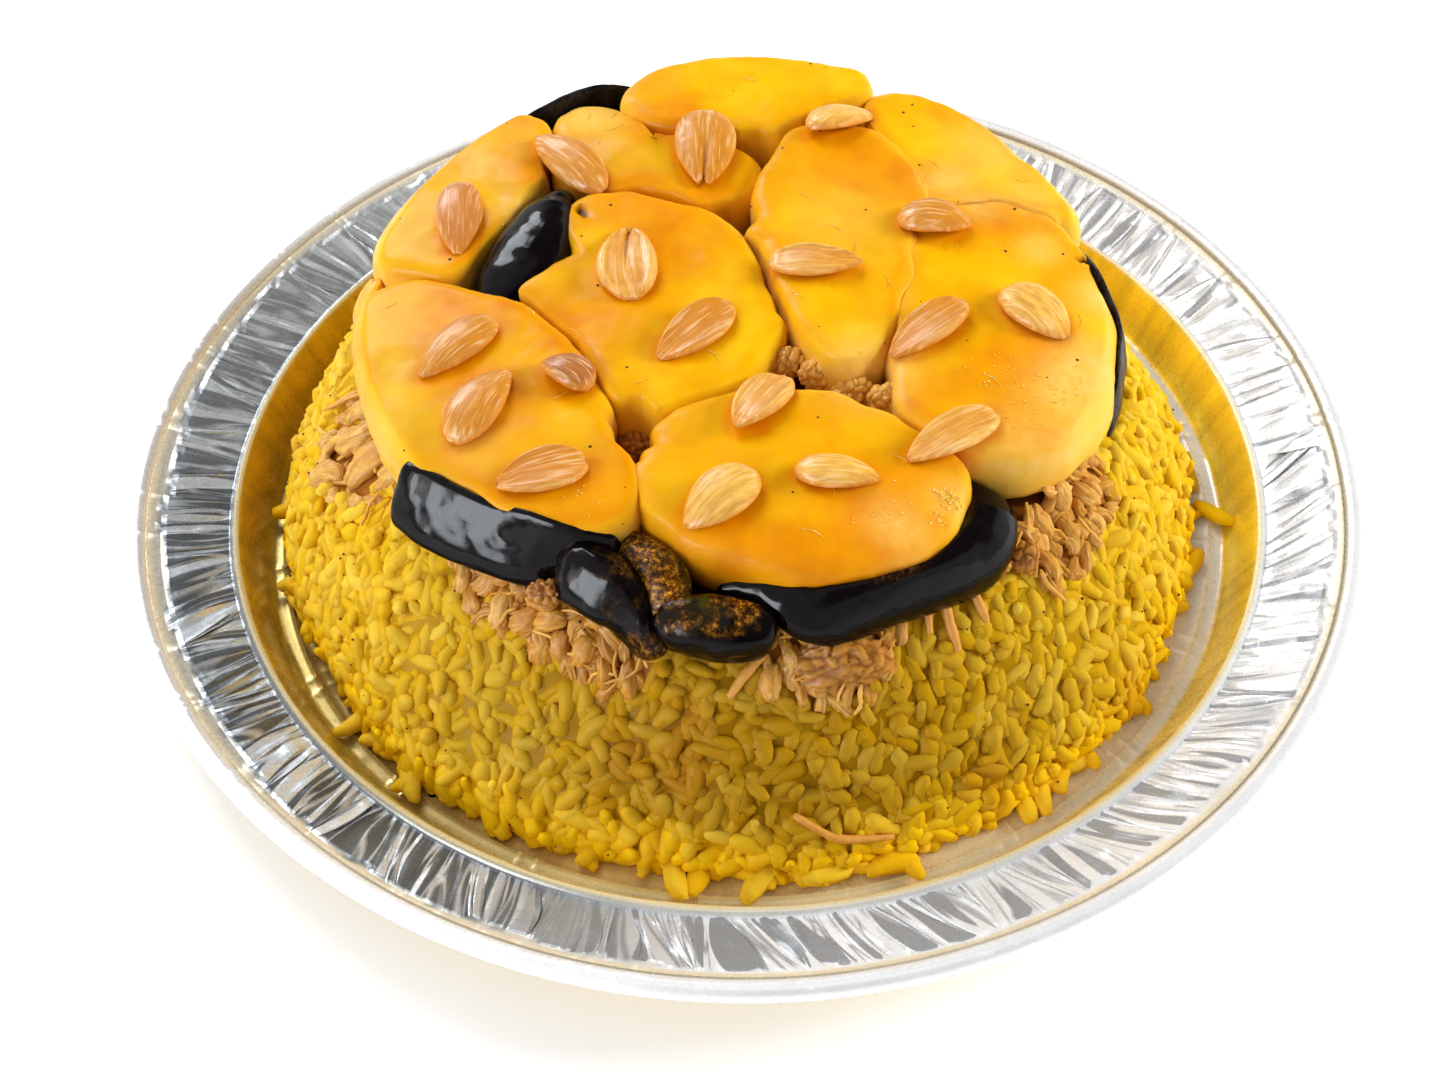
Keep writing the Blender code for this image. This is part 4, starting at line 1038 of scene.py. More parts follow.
def flake(heap, middle, along, out, length, width, thick, source, brown=0.0, tint=None, rings=9, sides=16):
    """A flat torn flake of meat with shallow ridges along it."""
    along, out = unit(along), unit(out)
    out = unit(out - along * float(out @ along))
    across = np.cross(out, along)
    angles = np.arange(sides) * 2 * math.pi / sides
    cosine, sine = np.cos(angles), np.sin(angles)
    bend, curl = source.normal(0, 0.10) * length, source.uniform(0.05, 0.28) * width
    twist = source.normal(0, 0.25)
    count, phase = source.uniform(2.2, 3.6), source.uniform(0, 6.28)
    whole = meat_tone(source, 1, brown)[0]
    if tint is not None:
        whole[:3] = blend(whole[:3], tint, 0.6)
    lean = source.uniform(-0.15, 0.15)
    grid = np.zeros((rings, sides, 3))
    tones = np.ones((rings, sides, 4))
    fibres = np.zeros((rings, sides, 4))
    own = source.uniform(0, 1)
    for r in range(rings):
        share = (r + 0.4) / (rings - 0.2)
        t = share - 0.5
        full = math.sin(math.pi * min(0.95, max(0.05, share + lean * math.sin(math.pi * share)))) ** 0.34
        half = 0.5 * width * full * source.uniform(0.80, 1.12)
        v = half * np.sign(cosine) * np.abs(cosine) ** 0.9
        aside = v / (0.5 * width)
        ridge = np.cos(2 * math.pi * count * aside / 2 + phase + 1.2 * t)
        lift = np.where(sine > 0, thick * full * (0.30 + 0.70 * np.abs(sine) ** 0.7) + 0.36 * ridge * np.minimum(1, 2 * sine), 0.5 * thick * full * sine)
        heart = middle + along * length * t + across * (bend * (2 * t) ** 2) - out * (0.30 * length * t * t)
        way = across * math.cos(twist * t) + out * math.sin(twist * t)
        grid[r] = heart + way * v[:, None] + out * (lift - curl * aside ** 2)[:, None]
        fibres[r] = np.c_[0.001 * v, np.full(sides, own + 0.00012 * length * t), 0.0006 * lift, np.ones(sides)]
        # Painted shade: darker in the grooves between the ridges, towards the edges and at the ends.
        shade = np.clip(0.55 * (0.5 - 0.5 * ridge) * (sine > 0) + 0.35 * smooth(0.75, 1.0, np.abs(aside)) + 0.25 * float(smooth(0.36, 0.5, abs(t))), 0, 0.85)
        tones[r, :, :3] = blend(np.repeat(whole[None, :3], sides, 0), srgb(168, 96, 34), shade)
    torn = grid.reshape(-1, 3)
    jog = np.c_[noise(torn, 2.3, 94), noise(torn, 2.3, 95), noise(torn, 2.3, 96)]
    grid = grid + 0.5 * jog.reshape(grid.shape)
    points, quads, tris = capped(grid, grid[0].mean(0) - along * 0.35, grid[-1].mean(0) + along * 0.35)
    all_tones = np.concatenate([tones.reshape(-1, 4), tones[0, :1], tones[-1, :1]])
    heap.add(points, quads, tris, all_tones, np.concatenate([fibres.reshape(-1, 4), fibres[0, :1], fibres[-1, :1]]))


def lump(middle, radii, seed, rows=40, columns=60, rough=0.9, size=2.4):
    """A crumbly knob of meat. Gives also how deep in a crease each point lies."""
    grid = np.zeros((rows, columns, 3))
    angles = np.arange(columns) * 2 * math.pi / columns
    for r in range(rows):
        tilt = math.pi * (r + 0.5) / rows
        grid[r] = np.c_[np.sin(tilt) * np.cos(angles), np.sin(tilt) * np.sin(angles), np.full(columns, math.cos(tilt))]
    way = np.concatenate([grid.reshape(-1, 3), [(0, 0, 1.0), (0, 0, -1.0)]])
    spot = way * radii + middle
    grow = 1 + 0.22 * noise(spot, 5.5, seed)
    warped = spot + 0.35 * size * np.c_[noise(spot, size, seed + 4), noise(spot, size, seed + 5), noise(spot, size, seed + 6)]
    _, border = cells(warped * np.array((1.0, 1.0, 0.62)), size, seed)
    crease = np.exp(-(border / 0.16) ** 2)
    dents = rough * (0.55 * np.minimum(border, 0.5) - 0.45 * crease) + 0.25 * rough * noise(spot, size * 0.4, seed + 2)
    both = middle + way * radii * grow[:, None] + way * dents[:, None]
    points, quads, tris = capped(both[:-2].reshape(rows, columns, 3), both[-2], both[-1])
    return points, quads, tris, crease


# Larger torn pieces: direction and height on the mound's side, how far they lean from upright in degrees, length, width,
# thickness, how far they stand out, browning.
CHUNKS = (
    (-137.5, 48.5, 10, 12, 7, 4, 0.5, 0.0), (-134.0, 45.5, -15, 11, 6, 4, 0.8, 0.0), (-130.0, 47.0, 20, 11, 6.5, 4, 0.6, 0.0),
    (-126.5, 44.5, -8, 13, 7.0, 4.5, 1.2, 0.0), (-122.0, 44.5, 35, 12, 8.0, 5, 1.6, 0.0), (-118.5, 46.5, 60, 11, 8.0, 5, 1.8, 0.05),
    (-116.0, 42.5, -20, 10, 7.0, 4.5, 1.2, 0.05), (-112.5, 43.0, 10, 11, 7.0, 5, 1.5, 0.05), (-109.0, 40.0, -10, 11, 6.0, 4.5, 1.0, 0.0),
    (-106.0, 41.0, 15, 10, 5.0, 4, 0.8, 0.05), (-120.0, 49.5, 80, 10, 6.5, 4.5, 1.6, 0.1), (-128.5, 50.0, 70, 9, 5.0, 4, 0.6, 0.1),
    (-86.0, 42.5, 8, 12, 7.0, 4.5, 0.8, 0.0), (-82.5, 45.0, -5, 10, 6.0, 4.5, 1.0, 0.0), (-70.0, 42.0, 30, 10, 6.0, 4.5, 0.6, 0.0),
    (-66.0, 46.0, 15, 11, 5.0, 4, 0.2, 0.0), (-61.0, 48.0, 8, 13, 4.5, 3.5, 0.2, 0.0),
    (-47.0, 48.5, 14, 12, 6.0, 4.0, 0.6, 0.1), (-43.0, 47.5, -6, 14, 6.0, 4.0, 0.9, 0.05), (-40.0, 42.5, 12, 13, 5.0, 4.0, 0.8, 0.0),
    (-37.0, 48.0, -12, 13, 7.0, 4.5, 1.0, 0.0), (-33.5, 43.5, 18, 13, 6.0, 4.5, 0.8, 0.0), (-30.5, 49.0, 6, 13, 7.0, 4.5, 1.2, 0.0),
    (-26.5, 44.5, -14, 12, 6.0, 4.5, 1.0, 0.0), (-23.0, 49.0, 10, 12, 6.5, 4.5, 0.8, 0.0), (-19.5, 46.0, -6, 11, 5.0, 4.0, 0.6, 0.0),
    (-168.0, 44.0, 12, 20, 12.0, 5.0, 1.2, 0.0), (-162.5, 45.5, -10, 22, 12.0, 5.5, 1.3, 0.0), (-157.0, 48.0, 14, 18, 10.0, 5.0, 1.2, 0.0),
    (-173.5, 47.0, 4, 22, 11.0, 5.0, 1.2, 0.0), (-178.5, 48.5, -6, 18, 9.0, 4.5, 1.0, 0.0), (-165.5, 39.5, 30, 16, 9.0, 4.5, 1.2, 0.0),
)


def make_meat(look):
    source = np.random.default_rng(211)
    heap = Heap()
    pale_tint = srgb(240, 196, 96)

    def at(direction, height):
        return (item[0] for item in on_side(np.array([math.radians(direction)]), np.array([float(height)])))

    for direction in np.arange(-180, 180, 2.4):
        for level in np.arange(36.5, 54.0, 3.0):
            way = direction + source.uniform(-1.6, 1.6)
            height = level + source.uniform(-1.6, 1.6)
            if height < chicken_from(np.array([math.radians(way)]))[0] - 0.5:
                continue
            pale = 181 < (direction + 360) % 360 < 216
            if pale and source.uniform() < 0.25:
                continue
            point, out, along, up = at(way, height)
            lean = source.normal(0.0, 0.6) if source.uniform() < 0.7 else source.uniform(0, math.pi)
            axis = up * math.cos(lean) + along * math.sin(lean) + out * source.normal(0, 0.14)
            flake(heap, point + out * source.uniform(-1.6, 0.4), axis, out + 0.35 * source.normal(0, 1) * along + 0.2 * source.normal(0, 1) * up,
                  source.uniform(4.6, 9.0), source.uniform(2.6, 4.8), source.uniform(0.9, 1.7), source, tint=pale_tint if pale else None)
    for direction, height, lean, length, width, thick, proud, brown in CHUNKS:
        point, out, along, up = at(direction, height)
        lean = math.radians(lean)
        axis = up * math.cos(lean) + along * math.sin(lean)
        flake(heap, point + out * (proud - 0.6), axis, out, 0.75 * length, 0.7 * width, 0.45 * thick, source, brown, pale_tint if direction < -150 else None)
    heap.made("chicken_shreds", look, ("chicken",), "chicken")

    fine = Heap()
    for _ in range(150):
        way = source.uniform(-180, 180)
        shows = float(chicken_from(np.array([math.radians(way)]))[0])
        if shows > 50:
            continue
        point, out, along, up = at(way, source.uniform(shows, 52))
        lean = source.normal(0, 0.8)
        ahead = unit(up * math.cos(lean) + along * math.sin(lean))
        across = np.cross(ahead, out)
        long = source.uniform(6, 13)
        path = [point + out * (1.0 + 0.5 * math.sin(2.5 * t + way)) + ahead * long * (t - 0.5) + across * source.normal(0, 0.7)
                for t in (0, 0.33, 0.66, 1)]
        fine.add(*strand(path, source.uniform(0.34, 0.6), source), meat_tone(source)[0])
    # Longer strands that show on the rice: direction and height of points along them.
    for run, radius in ((((-91.5, 40.5), (-89.5, 43.5), (-88.5, 44.5), (-86.0, 47.5)), 1.2),
                        (((-59.5, 40.0), (-59.0, 45.0), (-58.0, 50.0), (-57.0, 54.0)), 1.3),
                        (((-54.0, 42.0), (-53.5, 47.0), (-52.5, 52.0), (-52.0, 55.0)), 1.2),
                        (((-62.5, 44.0), (-61.5, 48.0), (-61.0, 51.0), (-60.5, 54.0)), 1.1),
                        (((-84.0, 18.5), (-80.5, 14.0), (-78.0, 12.0), (-73.0, 10.2)), 1.0)):
        turns = np.radians([d for d, _ in run])
        point, out, _, _ = on_side(turns, np.array([h for _, h in run], float))
        fine.add(*strand(point + out * 1.0, radius, source, 8, 12), (*srgb(222, 160, 74), 1))
    fine.made("chicken_fibres", look, (), "chicken")

    knobs = Heap()
    # Middle, radii, roughness, lump size, browning; the first knob's browning, at the front under the overhang, is
    # painted shade.
    for number, (middle, radii, rough, size, brown) in enumerate((
            ((18.5, -85.5, 42.5), (11.5, 6.0, 6.6), 1.7, 2.6, 0.42),
            ((-42.5, -75.0, 55.5), (4.4, 3.0, 2.4), 1.3, 1.8, 0.75),
            ((62.0, -58.5, 46.5), (3.4, 3.4, 4.0), 1.0, 2.0, 0.5),
            ((-0.5, 43.8, 60.5), (6.0, 4.2, 5.0), 1.2, 2.0, 0.15),
            ((9.5, -14.8, 65.0), (3.8, 3.2, 4.4), 1.1, 1.9, 0.0),
            ((16.5, -18.3, 63.6), (5.0, 3.2, 4.8), 1.1, 1.9, 0.0),
            ((24.5, -23.8, 63.2), (5.0, 3.0, 4.6), 1.2, 1.8, 0.0),
            ((32.5, -26.8, 64.0), (4.4, 3.4, 5.0), 1.3, 2.0, 0.0),
            ((-25.5, -31.5, 56.0), (4.5, 5.0, 4.0), 1.0, 2.2, 0.7))):
        points, quads, tris, crease = lump(np.array(middle), np.array(radii), 40 + 3 * number, rough=rough, size=size)
        tones = meat_tone(source, len(points), brown)
        tones[:, :3] = blend(meat_tone(source, 1, brown)[0, :3], tones[:, :3], 0.25)
        gap_knob = number in (3, 4, 5, 6, 7)
        # Painted light: the knobs deep in the gaps between the slices are lightened.
        if gap_knob:
            tones[:, :3] = blend(tones[:, :3], srgb(250, 200, 104), 0.6)
        # Painted shade: the knobs are darker in the creases between their crumbs.
        tones[:, :3] = blend(tones[:, :3], srgb(190, 124, 44) if gap_knob else srgb(128, 70, 20), (0.55 if gap_knob else 0.75) * crease)
        knobs.add(points, quads, tris, tones)
    knobs.made("chicken_knobs", look, (), "chicken")

    # The bed under the slices, seen only in their gaps.
    turns = np.linspace(0, 2 * math.pi, 240, endpoint=False)
    rings = []
    for reach, drop in ((84.0, 14.0), (86.0, 9.0), (86.0, 4.5), (84.5, 2.2), (80.0, 1.4), (72.0, 1.0), (64.0, 0.8), (56.0, 0.7),
                        (48.0, 0.6), (40.0, 0.6), (32.0, 0.6), (24.0, 0.6), (16.0, 0.6), (8.0, 0.6)):
        x = BED_CENTRE[0] + reach * np.cos(turns)
        y = BED_CENTRE[1] + reach * np.sin(turns)
        level = np.array([bed(a, b) for a, b in zip(x, y)]) - drop
        spots = np.c_[x, y, level]
        rings.append(np.c_[x, y, level + 0.6 * noise(spots, 3.0, 8) + 0.3 * noise(spots, 1.6, 9) - 0.3])
    points, quads, tris = capped(np.array(rings), (*BED_CENTRE, 38.0), (*BED_CENTRE, bed(*BED_CENTRE) - 0.8))
    # Painted shade: the bed is a dark brown, much darker than the shreds.
    tones = np.c_[blend(np.repeat(np.array([srgb(164, 98, 28)]), len(points), 0), srgb(92, 46, 12), 0.5 + 0.5 * noise(points, 8.0, 10)),
                  np.ones(len(points))]
    piece("chicken_bed", points, quads, tris, look, tones, ("chicken",))


# ---------------------------------------------------------------- aubergine

# How each slice's visible rim departs from the plain outline: direction, spread in degrees, distance.
RIM_SHAPES = {
    "aubergine_front": ((30, 26, -3.3), (128, 30, -2.3), (0, 9, 3.0), (222, 14, 2.4), (285, 34, 2.2)),
    "aubergine_front_left": ((105, 12, -4.0), (136, 11, 3.4), (0, 18, -1.9), (272, 26, -7.4), (312, 15, 6.6), (240, 8, 1.0)),
    "aubergine_right": ((10, 10, 1.8), (97, 14, 4.5), (145, 22, -4.5), (175, 14, -1.5), (222, 16, 3.2), (300, 24, -4.0), (335, 14, -1.2)),
    "aubergine_centre_left": ((152, 14, -11.0), (183, 7, 5.6), (84, 16, -3.2), (266, 14, 3.3), (350, 20, -2.0)),
    "aubergine_centre_right": ((270, 14, 4.0), (310, 30, 6.5), (352, 12, 2.5), (180, 8, 3.0), (60, 12, -2.8), (92, 16, -2.5), (120, 12, -2.0)),
    "aubergine_back_left": ((0, 12, 3.4), (270, 11, 4.0), (217, 14, -1.6)),
    "aubergine_back_right": ((10, 32, -3.0), (165, 18, 4.5), (300, 14, -1.5), (320, 11, -2.4)),
    "aubergine_back": ((285, 14, 3.0), (345, 14, -2.0)),
    "aubergine_back_mid": ((300, 12, 1.2),),
}
# How pale the cut side of each slice is.
SIDE_PALE = {"aubergine_front": 0.0, "aubergine_front_left": 0.62, "aubergine_right": 0.55, "aubergine_centre_left": 0.22, "aubergine_centre_right": 0.55,
             "aubergine_back_left": 0.6, "aubergine_back_right": 0.35, "aubergine_back": 0.2, "aubergine_back_mid": 0.1, "aubergine_wedge_left": 0.6}
# Darker glaze on the slices: x, y, radius, strength.
GLAZE = (
    (-68.5, 19.2, 9, 0.5), (-70.6, -2.3, 8, 0.7), (-58.8, -4.5, 8, 0.7), (-44.0, -14.0, 8, 0.5), (-29.5, 31.8, 9, 0.75), (-20.0, 26.0, 9, 0.7),
    (-11.6, 18.2, 9, 0.7), (-14.3, 10.6, 7, 0.45), (-72.2, -14.4, 6, 0.5), (-63.9, -25.2, 8, 0.8), (-49.9, -33.3, 8, 0.45), (30.6, 41.0, 10, 1.0),
    (22.0, 46.5, 10, 0.9), (37.0, 36.0, 7, 0.8), (59.8, 26.6, 7, 0.8), (66.4, 25.4, 8, 0.8), (52.0, 22.0, 6, 0.6), (58.8, -23.7, 10, 0.9), (70.0, -22.0, 8, 0.7),
    (63.9, -41.0, 10, 0.7), (-24.3, 60.4, 8, 0.6), (-18.2, 62.5, 8, 0.5), (-13.1, -78.0, 11, 0.9), (2.8, -80.0, 12, 0.9), (27.6, -76.0, 13, 0.9),
    (-37.1, -61.9, 10, 0.7), (-30.0, -50.0, 9, 0.5), (-51.6, 47.1, 6, 0.7), (-33.1, -11.0, 8, 0.4), (12.0, 14.0, 6, 0.4), (45.0, -30.0, 6, 0.5),
    (-6.0, -48.0, 8, 0.35), (24.0, -34.0, 8, 0.35), (40.0, -52.0, 8, 0.6), (-16.0, 66.0, 5, 0.7), (20.0, 60.0, 6, 0.6), (-8.0, 38.0, 7, 0.5),
    (-25.0, 0.0, 18, 0.35), (20.0, -60.0, 20, 0.35), (-50.0, -45.0, 16, 0.30), (30.0, -62.0, 16, 0.4),
)
# Pale, thinly glazed places.
PALE = (
    (-38.2, 68.0, 8, 0.8), (72.2, -29.5, 9, 0.8), (65.6, -4.2, 5, 0.8), (82.7, -0.4, 6, 0.9), (49.5, 39.3, 6, 0.7), (56.9, 29.9, 5, 0.6),
    (70.1, 15.1, 5, 0.6), (28.0, -25.0, 9, 0.9), (-55.7, 32.4, 6, 0.7), (43.7, -60.5, 5, 0.6), (79.0, -20.0, 8, 0.7), (30.0, -66.0, 6, 0.45),
    (34.0, -70.0, 5, 0.5), (62.0, 52.0, 11, 0.5), (70.0, 34.0, 8, 0.4), (24.0, 24.0, 13, 0.22), (-84.0, -38.0, 8, 0.5), (60.0, -46.0, 9, 0.5), (-60.0, -44.0, 7, 0.35), (74.0, -44.0, 6, 0.5),
)
# Dents in the slices' tops: x, y, radius, depth.
DENTS = (
    (-14.3, 12.0, 5, 0.5), (-30.0, 10.0, 14, -0.4), (24.0, 30.0, 10, -0.4), (60.0, 10.0, 9, 0.8), (66.0, -5.0, 6, 0.7), (52.0, -24.0, 12, -0.4),
    (-62.0, -30.0, 14, -0.4), (12.0, -50.0, 16, -0.4), (-72.0, 50.0, 6, 0.6), (-60.0, 36.0, 5, 0.9), (-20.0, 58.0, 7, 0.7), (8.0, 78.0, 12, -0.3),
    (70.0, -20.0, 5, 0.6), (74.0, -34.0, 4, 0.7), (40.0, -64.0, 4, 0.5), (-5.0, 30.0, 9, 0.5), (30.0, 0.0, 7, 0.5), (50.0, 40.0, 8, 0.5),
)
PITS = ((-39.0, 29.5, 3.0, 1.3, -50), (80.1, 12.5, 2.2, 1.2, 10))     # x, y, half length, half width, direction
FINE_STEPS = 180
SWELL = 0.5              # how far the rims bulge past the CAD's
CLOSE, FAR = 4.5, 6.5    # slices this near to each other soften until they touch, and further apart than this they don't
APART = {"aubergine_centre_left": (160, 26), "aubergine_back_left": (-28, 44)}       # the directions in which skin parts them
# From the level top over the rounded rim and down the side: distance in from the rim, share of the thickness.
RIM_SECTION = ((5.0, 1.0), (3.6, 0.992), (2.5, 0.972), (1.65, 0.94), (1.0, 0.89), (0.5, 0.82), (0.18, 0.73), (0.02, 0.62), (0.0, 0.5),
               (0.2, 0.33), (0.7, 0.18), (1.7, 0.07), (3.3, 0.01), (5.6, 0.0))


def bed_at(x, y):
    reach = np.hypot(x - BED_CENTRE[0], y - BED_CENTRE[1])
    bent = np.maximum(0, np.minimum(reach, BED_STEEP_R) - BED_FLAT_R)
    return BED_Z + BED_TILT * y - BED_FALL * bent * bent - BED_STEEP * np.maximum(0, reach - BED_STEEP_R)


def spots_at(x, y, spots):
    total = np.zeros_like(x)
    for sx, sy, radius, strength in spots:
        total = total + strength * np.exp(-(((x - sx) ** 2 + (y - sy) ** 2) / radius ** 2))
    return total


def shaped_rim(name, spec, reach, steps=FINE_STEPS):
    """Distance from a slice's middle to its rim, at many directions."""
    radius = closed_curve(reach, steps)
    directions = np.arange(steps) * 360 / steps
    for direction, spread, distance in RIM_SHAPES.get(name, ()):
        radius = radius + distance * np.exp(-(turn_gap(directions, direction) / spread) ** 2)
    return radius + SWELL


# Where a slice's top rises to its neighbour's: x, y, radius, rise.
RISES = {"aubergine_back_mid": ((-18.0, 50.0, 13.0, 2.0), (-27.0, 55.0, 9.0, 1.2))}
# Seams that show only as a thin line: the seam's course, and how far it is closed.
SEAMS = (
    (((30.2, 59.5), (34.1, 52.2), (38.7, 45.5), (41.1, 36.6), (42.6, 33.1), (42.0, 24.0), (41.0, 15.1), (39.1, 3.2), (37.1, -7.0)), 0.75),
    (((42.8, 33.8), (50.1, 32.8), (57.6, 32.0), (64.5, 30.8), (70.3, 27.9), (73.6, 23.8), (75.8, 18.7), (78.4, 12.9)), 0.92),
    (((-31.3, 57.4), (-30.2, 54.5), (-23.7, 52.8), (-16.9, 49.7), (-1.0, 46.4)), 0.4),
)
# Open places between the slices: x, y, radius.
HOLES = ((-24.8, -42.5, 4.0), (-25.2, -37.0, 4.4), (-25.4, -48.0, 1.8))


def inside(points, outline):
    """Which plan points lie in a closed outline."""
    ends = np.roll(outline, -1, axis=0)
    crosses = (outline[:, 1] > points[:, None, 1]) != (ends[:, 1] > points[:, None, 1])
    with np.errstate(divide="ignore", invalid="ignore"):
        x_at = outline[:, 0] + (points[:, None, 1] - outline[:, 1]) * (ends[:, 0] - outline[:, 0]) / (ends[:, 1] - outline[:, 1])
    return (crosses & (points[:, None, 0] < x_at)).sum(1) % 2 == 1


def touching_rims(rims):
    """Rims drawn out to meet a near neighbour half way."""
    turns = np.arange(FINE_STEPS) * 2 * math.pi / FINE_STEPS
    rays = np.c_[np.cos(turns), np.sin(turns)]
    outlines = {name: np.array(SLICES[name][:2]) + rays * radius[:, None] for name, radius in rims.items()}
    met = {}
    for name, radius in rims.items():
        gap = np.full(FINE_STEPS, 99.0)
        for other, outline in outlines.items():
            if other == name:
                continue
            for distance in np.arange(FAR, -0.01, -0.4):
                here = np.array(SLICES[name][:2]) + rays * (radius + distance)[:, None]
                gap = np.where(inside(here, outline), np.minimum(gap, distance), gap)
        extra = (0.5 * gap + 0.45) * (1 - smooth(CLOSE, FAR, gap))
        extra = sum(np.roll(extra, k) for k in range(-3, 4)) / 7
        if name in APART:
            middle, spread = APART[name]
            extra = extra * smooth(spread, spread + 10, turn_gap(np.arange(FINE_STEPS) * 360 / FINE_STEPS, middle))
        radius = radius + extra
        for x, y, free in HOLES:
            for _ in range(14):
                here = np.array(SLICES[name][:2]) + rays * radius[:, None]
                near = np.hypot(here[:, 0] - x, here[:, 1] - y) < free
                radius = radius - 0.4 * near
            soft = (np.roll(radius, 1) + radius + np.roll(radius, -1)) / 3
            radius = np.minimum(radius, soft + 0.2)
        met[name] = radius
    return met


def seam_share(x, y):
    """How far a place in plan lies in one of the closed seams."""
    total = np.zeros_like(x)
    for course, strength in SEAMS:
        course = np.array(course)
        nearest = np.full(x.shape, 99.0)
        for a, b in zip(course[:-1], course[1:]):
            share = np.clip(((x - a[0]) * (b - a)[0] + (y - a[1]) * (b - a)[1]) / ((b - a) ** 2).sum(), 0, 1)
            nearest = np.minimum(nearest, np.hypot(x - a[0] - share * (b - a)[0], y - a[1] - share * (b - a)[1]))
        total = np.maximum(total, strength * (1 - smooth(2.5, 5.5, nearest)))
    return total


def fine_slab(name, spec, radius, look, steps=FINE_STEPS, seed=0, rough=1.0, nodes=None, tone_of=None, section=RIM_SECTION):
    """A slice with a level glazed top, a rounded rim and creased sides."""
    middle = np.array(spec[:2])
    thick, lift = spec[7:9]
    turns = np.arange(steps) * 2 * math.pi / steps
    ragged = 0.45 * noise(np.c_[radius * np.cos(turns), radius * np.sin(turns)], 7.0, seed + 5) + 0.2 * noise(np.c_[radius * np.cos(turns), radius * np.sin(turns)], 2.6, seed + 6)
    radius = radius + ragged
    bent = open_curve(np.array(section), 26)
    inner = radius - bent[0, 0]
    rings, insets, heights = [], [], []

    def ring(reaches, inset, height):
        x = middle[0] + reaches * np.cos(turns)
        y = middle[1] + reaches * np.sin(turns)
        closed = height + (1 - height) * seam_share(x, y) * float(smooth(0.3, 0.7, height))
        rings.append(np.c_[x, y, bed_at(x, y) + GAP + lift + thick * closed])
        insets.append(np.broadcast_to(inset, steps))
        heights.append(np.full(steps, height))

    for share in np.linspace(0.06, 0.95, 13):
        ring(inner * share, radius - inner * share, 1.0)
    for inset, height in bent:
        ring(np.maximum(radius - inset, 0.3), inset, height)
    last = section[-1][0]
    for share in (0.6, 0.2):
        ring((radius - last) * share, radius - (radius - last) * share, 0.0)
    points, quads, tris = capped(np.array(rings), (*middle, float(bed_at(*middle)) + GAP + lift + thick),
                                 (*middle, float(bed_at(*middle)) + GAP + lift))
    inset = np.append(np.concatenate(insets), (20, 20))
    height = np.append(np.concatenate(heights), (1, 0))
    x, y = points[:, 0], points[:, 1]
    outward = np.c_[points[:, :2] - middle, np.zeros(len(points))]
    outward = outward / np.maximum(np.linalg.norm(outward, axis=1), 1.0)[:, None]
    upper = smooth(0.35, 0.85, height)
    side = (1 - smooth(0.6, 2.6, inset)) * (1 - smooth(0.70, 0.90, height))
    bulge = 0.50 * noise(points, 17.0, seed) + 0.24 * noise(points, 7.5, seed + 1) + 0.10 * noise(points, 3.0, seed + 2)
    crease = -0.55 * np.abs(noise(np.c_[x, y, points[:, 2] * 0.35], 4.2, seed + 3)) * side
    # The film of glaze draws into a thin raised line along the rim.
    film = 0.18 * np.exp(-((inset - 1.5) / 0.5) ** 2) * smooth(0.7, 0.85, height)
    points = points + outward * ((crease + 0.45 * bulge * side) * rough)[:, None]
    points[:, 2] += (rough * bulge - spots_at(x, y, DENTS)) * upper * (1 - 0.6 * side) + film + spots_at(x, y, RISES.get(name, ())) * upper
    pit = np.zeros(len(points))
    for px, py, long, wide, direction in PITS:
        turn = math.radians(direction)
        u = (x - px) * math.cos(turn) + (y - py) * math.sin(turn)
        v = -(x - px) * math.sin(turn) + (y - py) * math.cos(turn)
        pit = np.maximum(pit, (1 - smooth(0.5, 1.0, np.sqrt((u / long) ** 2 + (v / wide) ** 2))) * upper)
    points[:, 2] -= 1.2 * pit
    edge = np.exp(-((inset - 1.2) / 1.3) ** 2) * upper
    pooled = np.zeros(len(points))
    for ax, ay, direction, length, width in ALMONDS:
        turn = math.radians(direction)
        u, v = (x - ax) * math.cos(turn) + (y - ay) * math.sin(turn), -(x - ax) * math.sin(turn) + (y - ay) * math.cos(turn)
        away = (np.sqrt((u / (0.5 * length)) ** 2 + (v / (0.5 * width)) ** 2) - 1) * 0.25 * (length + width)
        pooled = np.maximum(pooled, np.exp(-(np.maximum(away, 0) / 1.3) ** 2))
    pale = np.clip(spots_at(x, y, PALE) * upper + SIDE_PALE[name] * side + 0.16 * edge * (0.5 + 0.5 * noise(points, 8.0, seed + 8)), 0, 1)
    glaze = np.clip(0.7 * pooled * upper + spots_at(x, y, GLAZE) * (0.5 + 0.5 * upper) + 0.40 * np.exp(-((inset - 4.0) / 2.2) ** 2) * upper * (0.6 + 0.6 * noise(points, 12.0, seed + 9))
                    + 0.18 + 0.25 * noise(points, 20.0, seed + 7), 0, 1)
    brown = 0.45 * (1 - smooth(0.0, 0.30, height)) * (1 - smooth(3.0, 6.0, inset))
    tones = np.c_[pale, glaze, np.clip(brown, 0, 1), pit]
    if name == "aubergine_front":
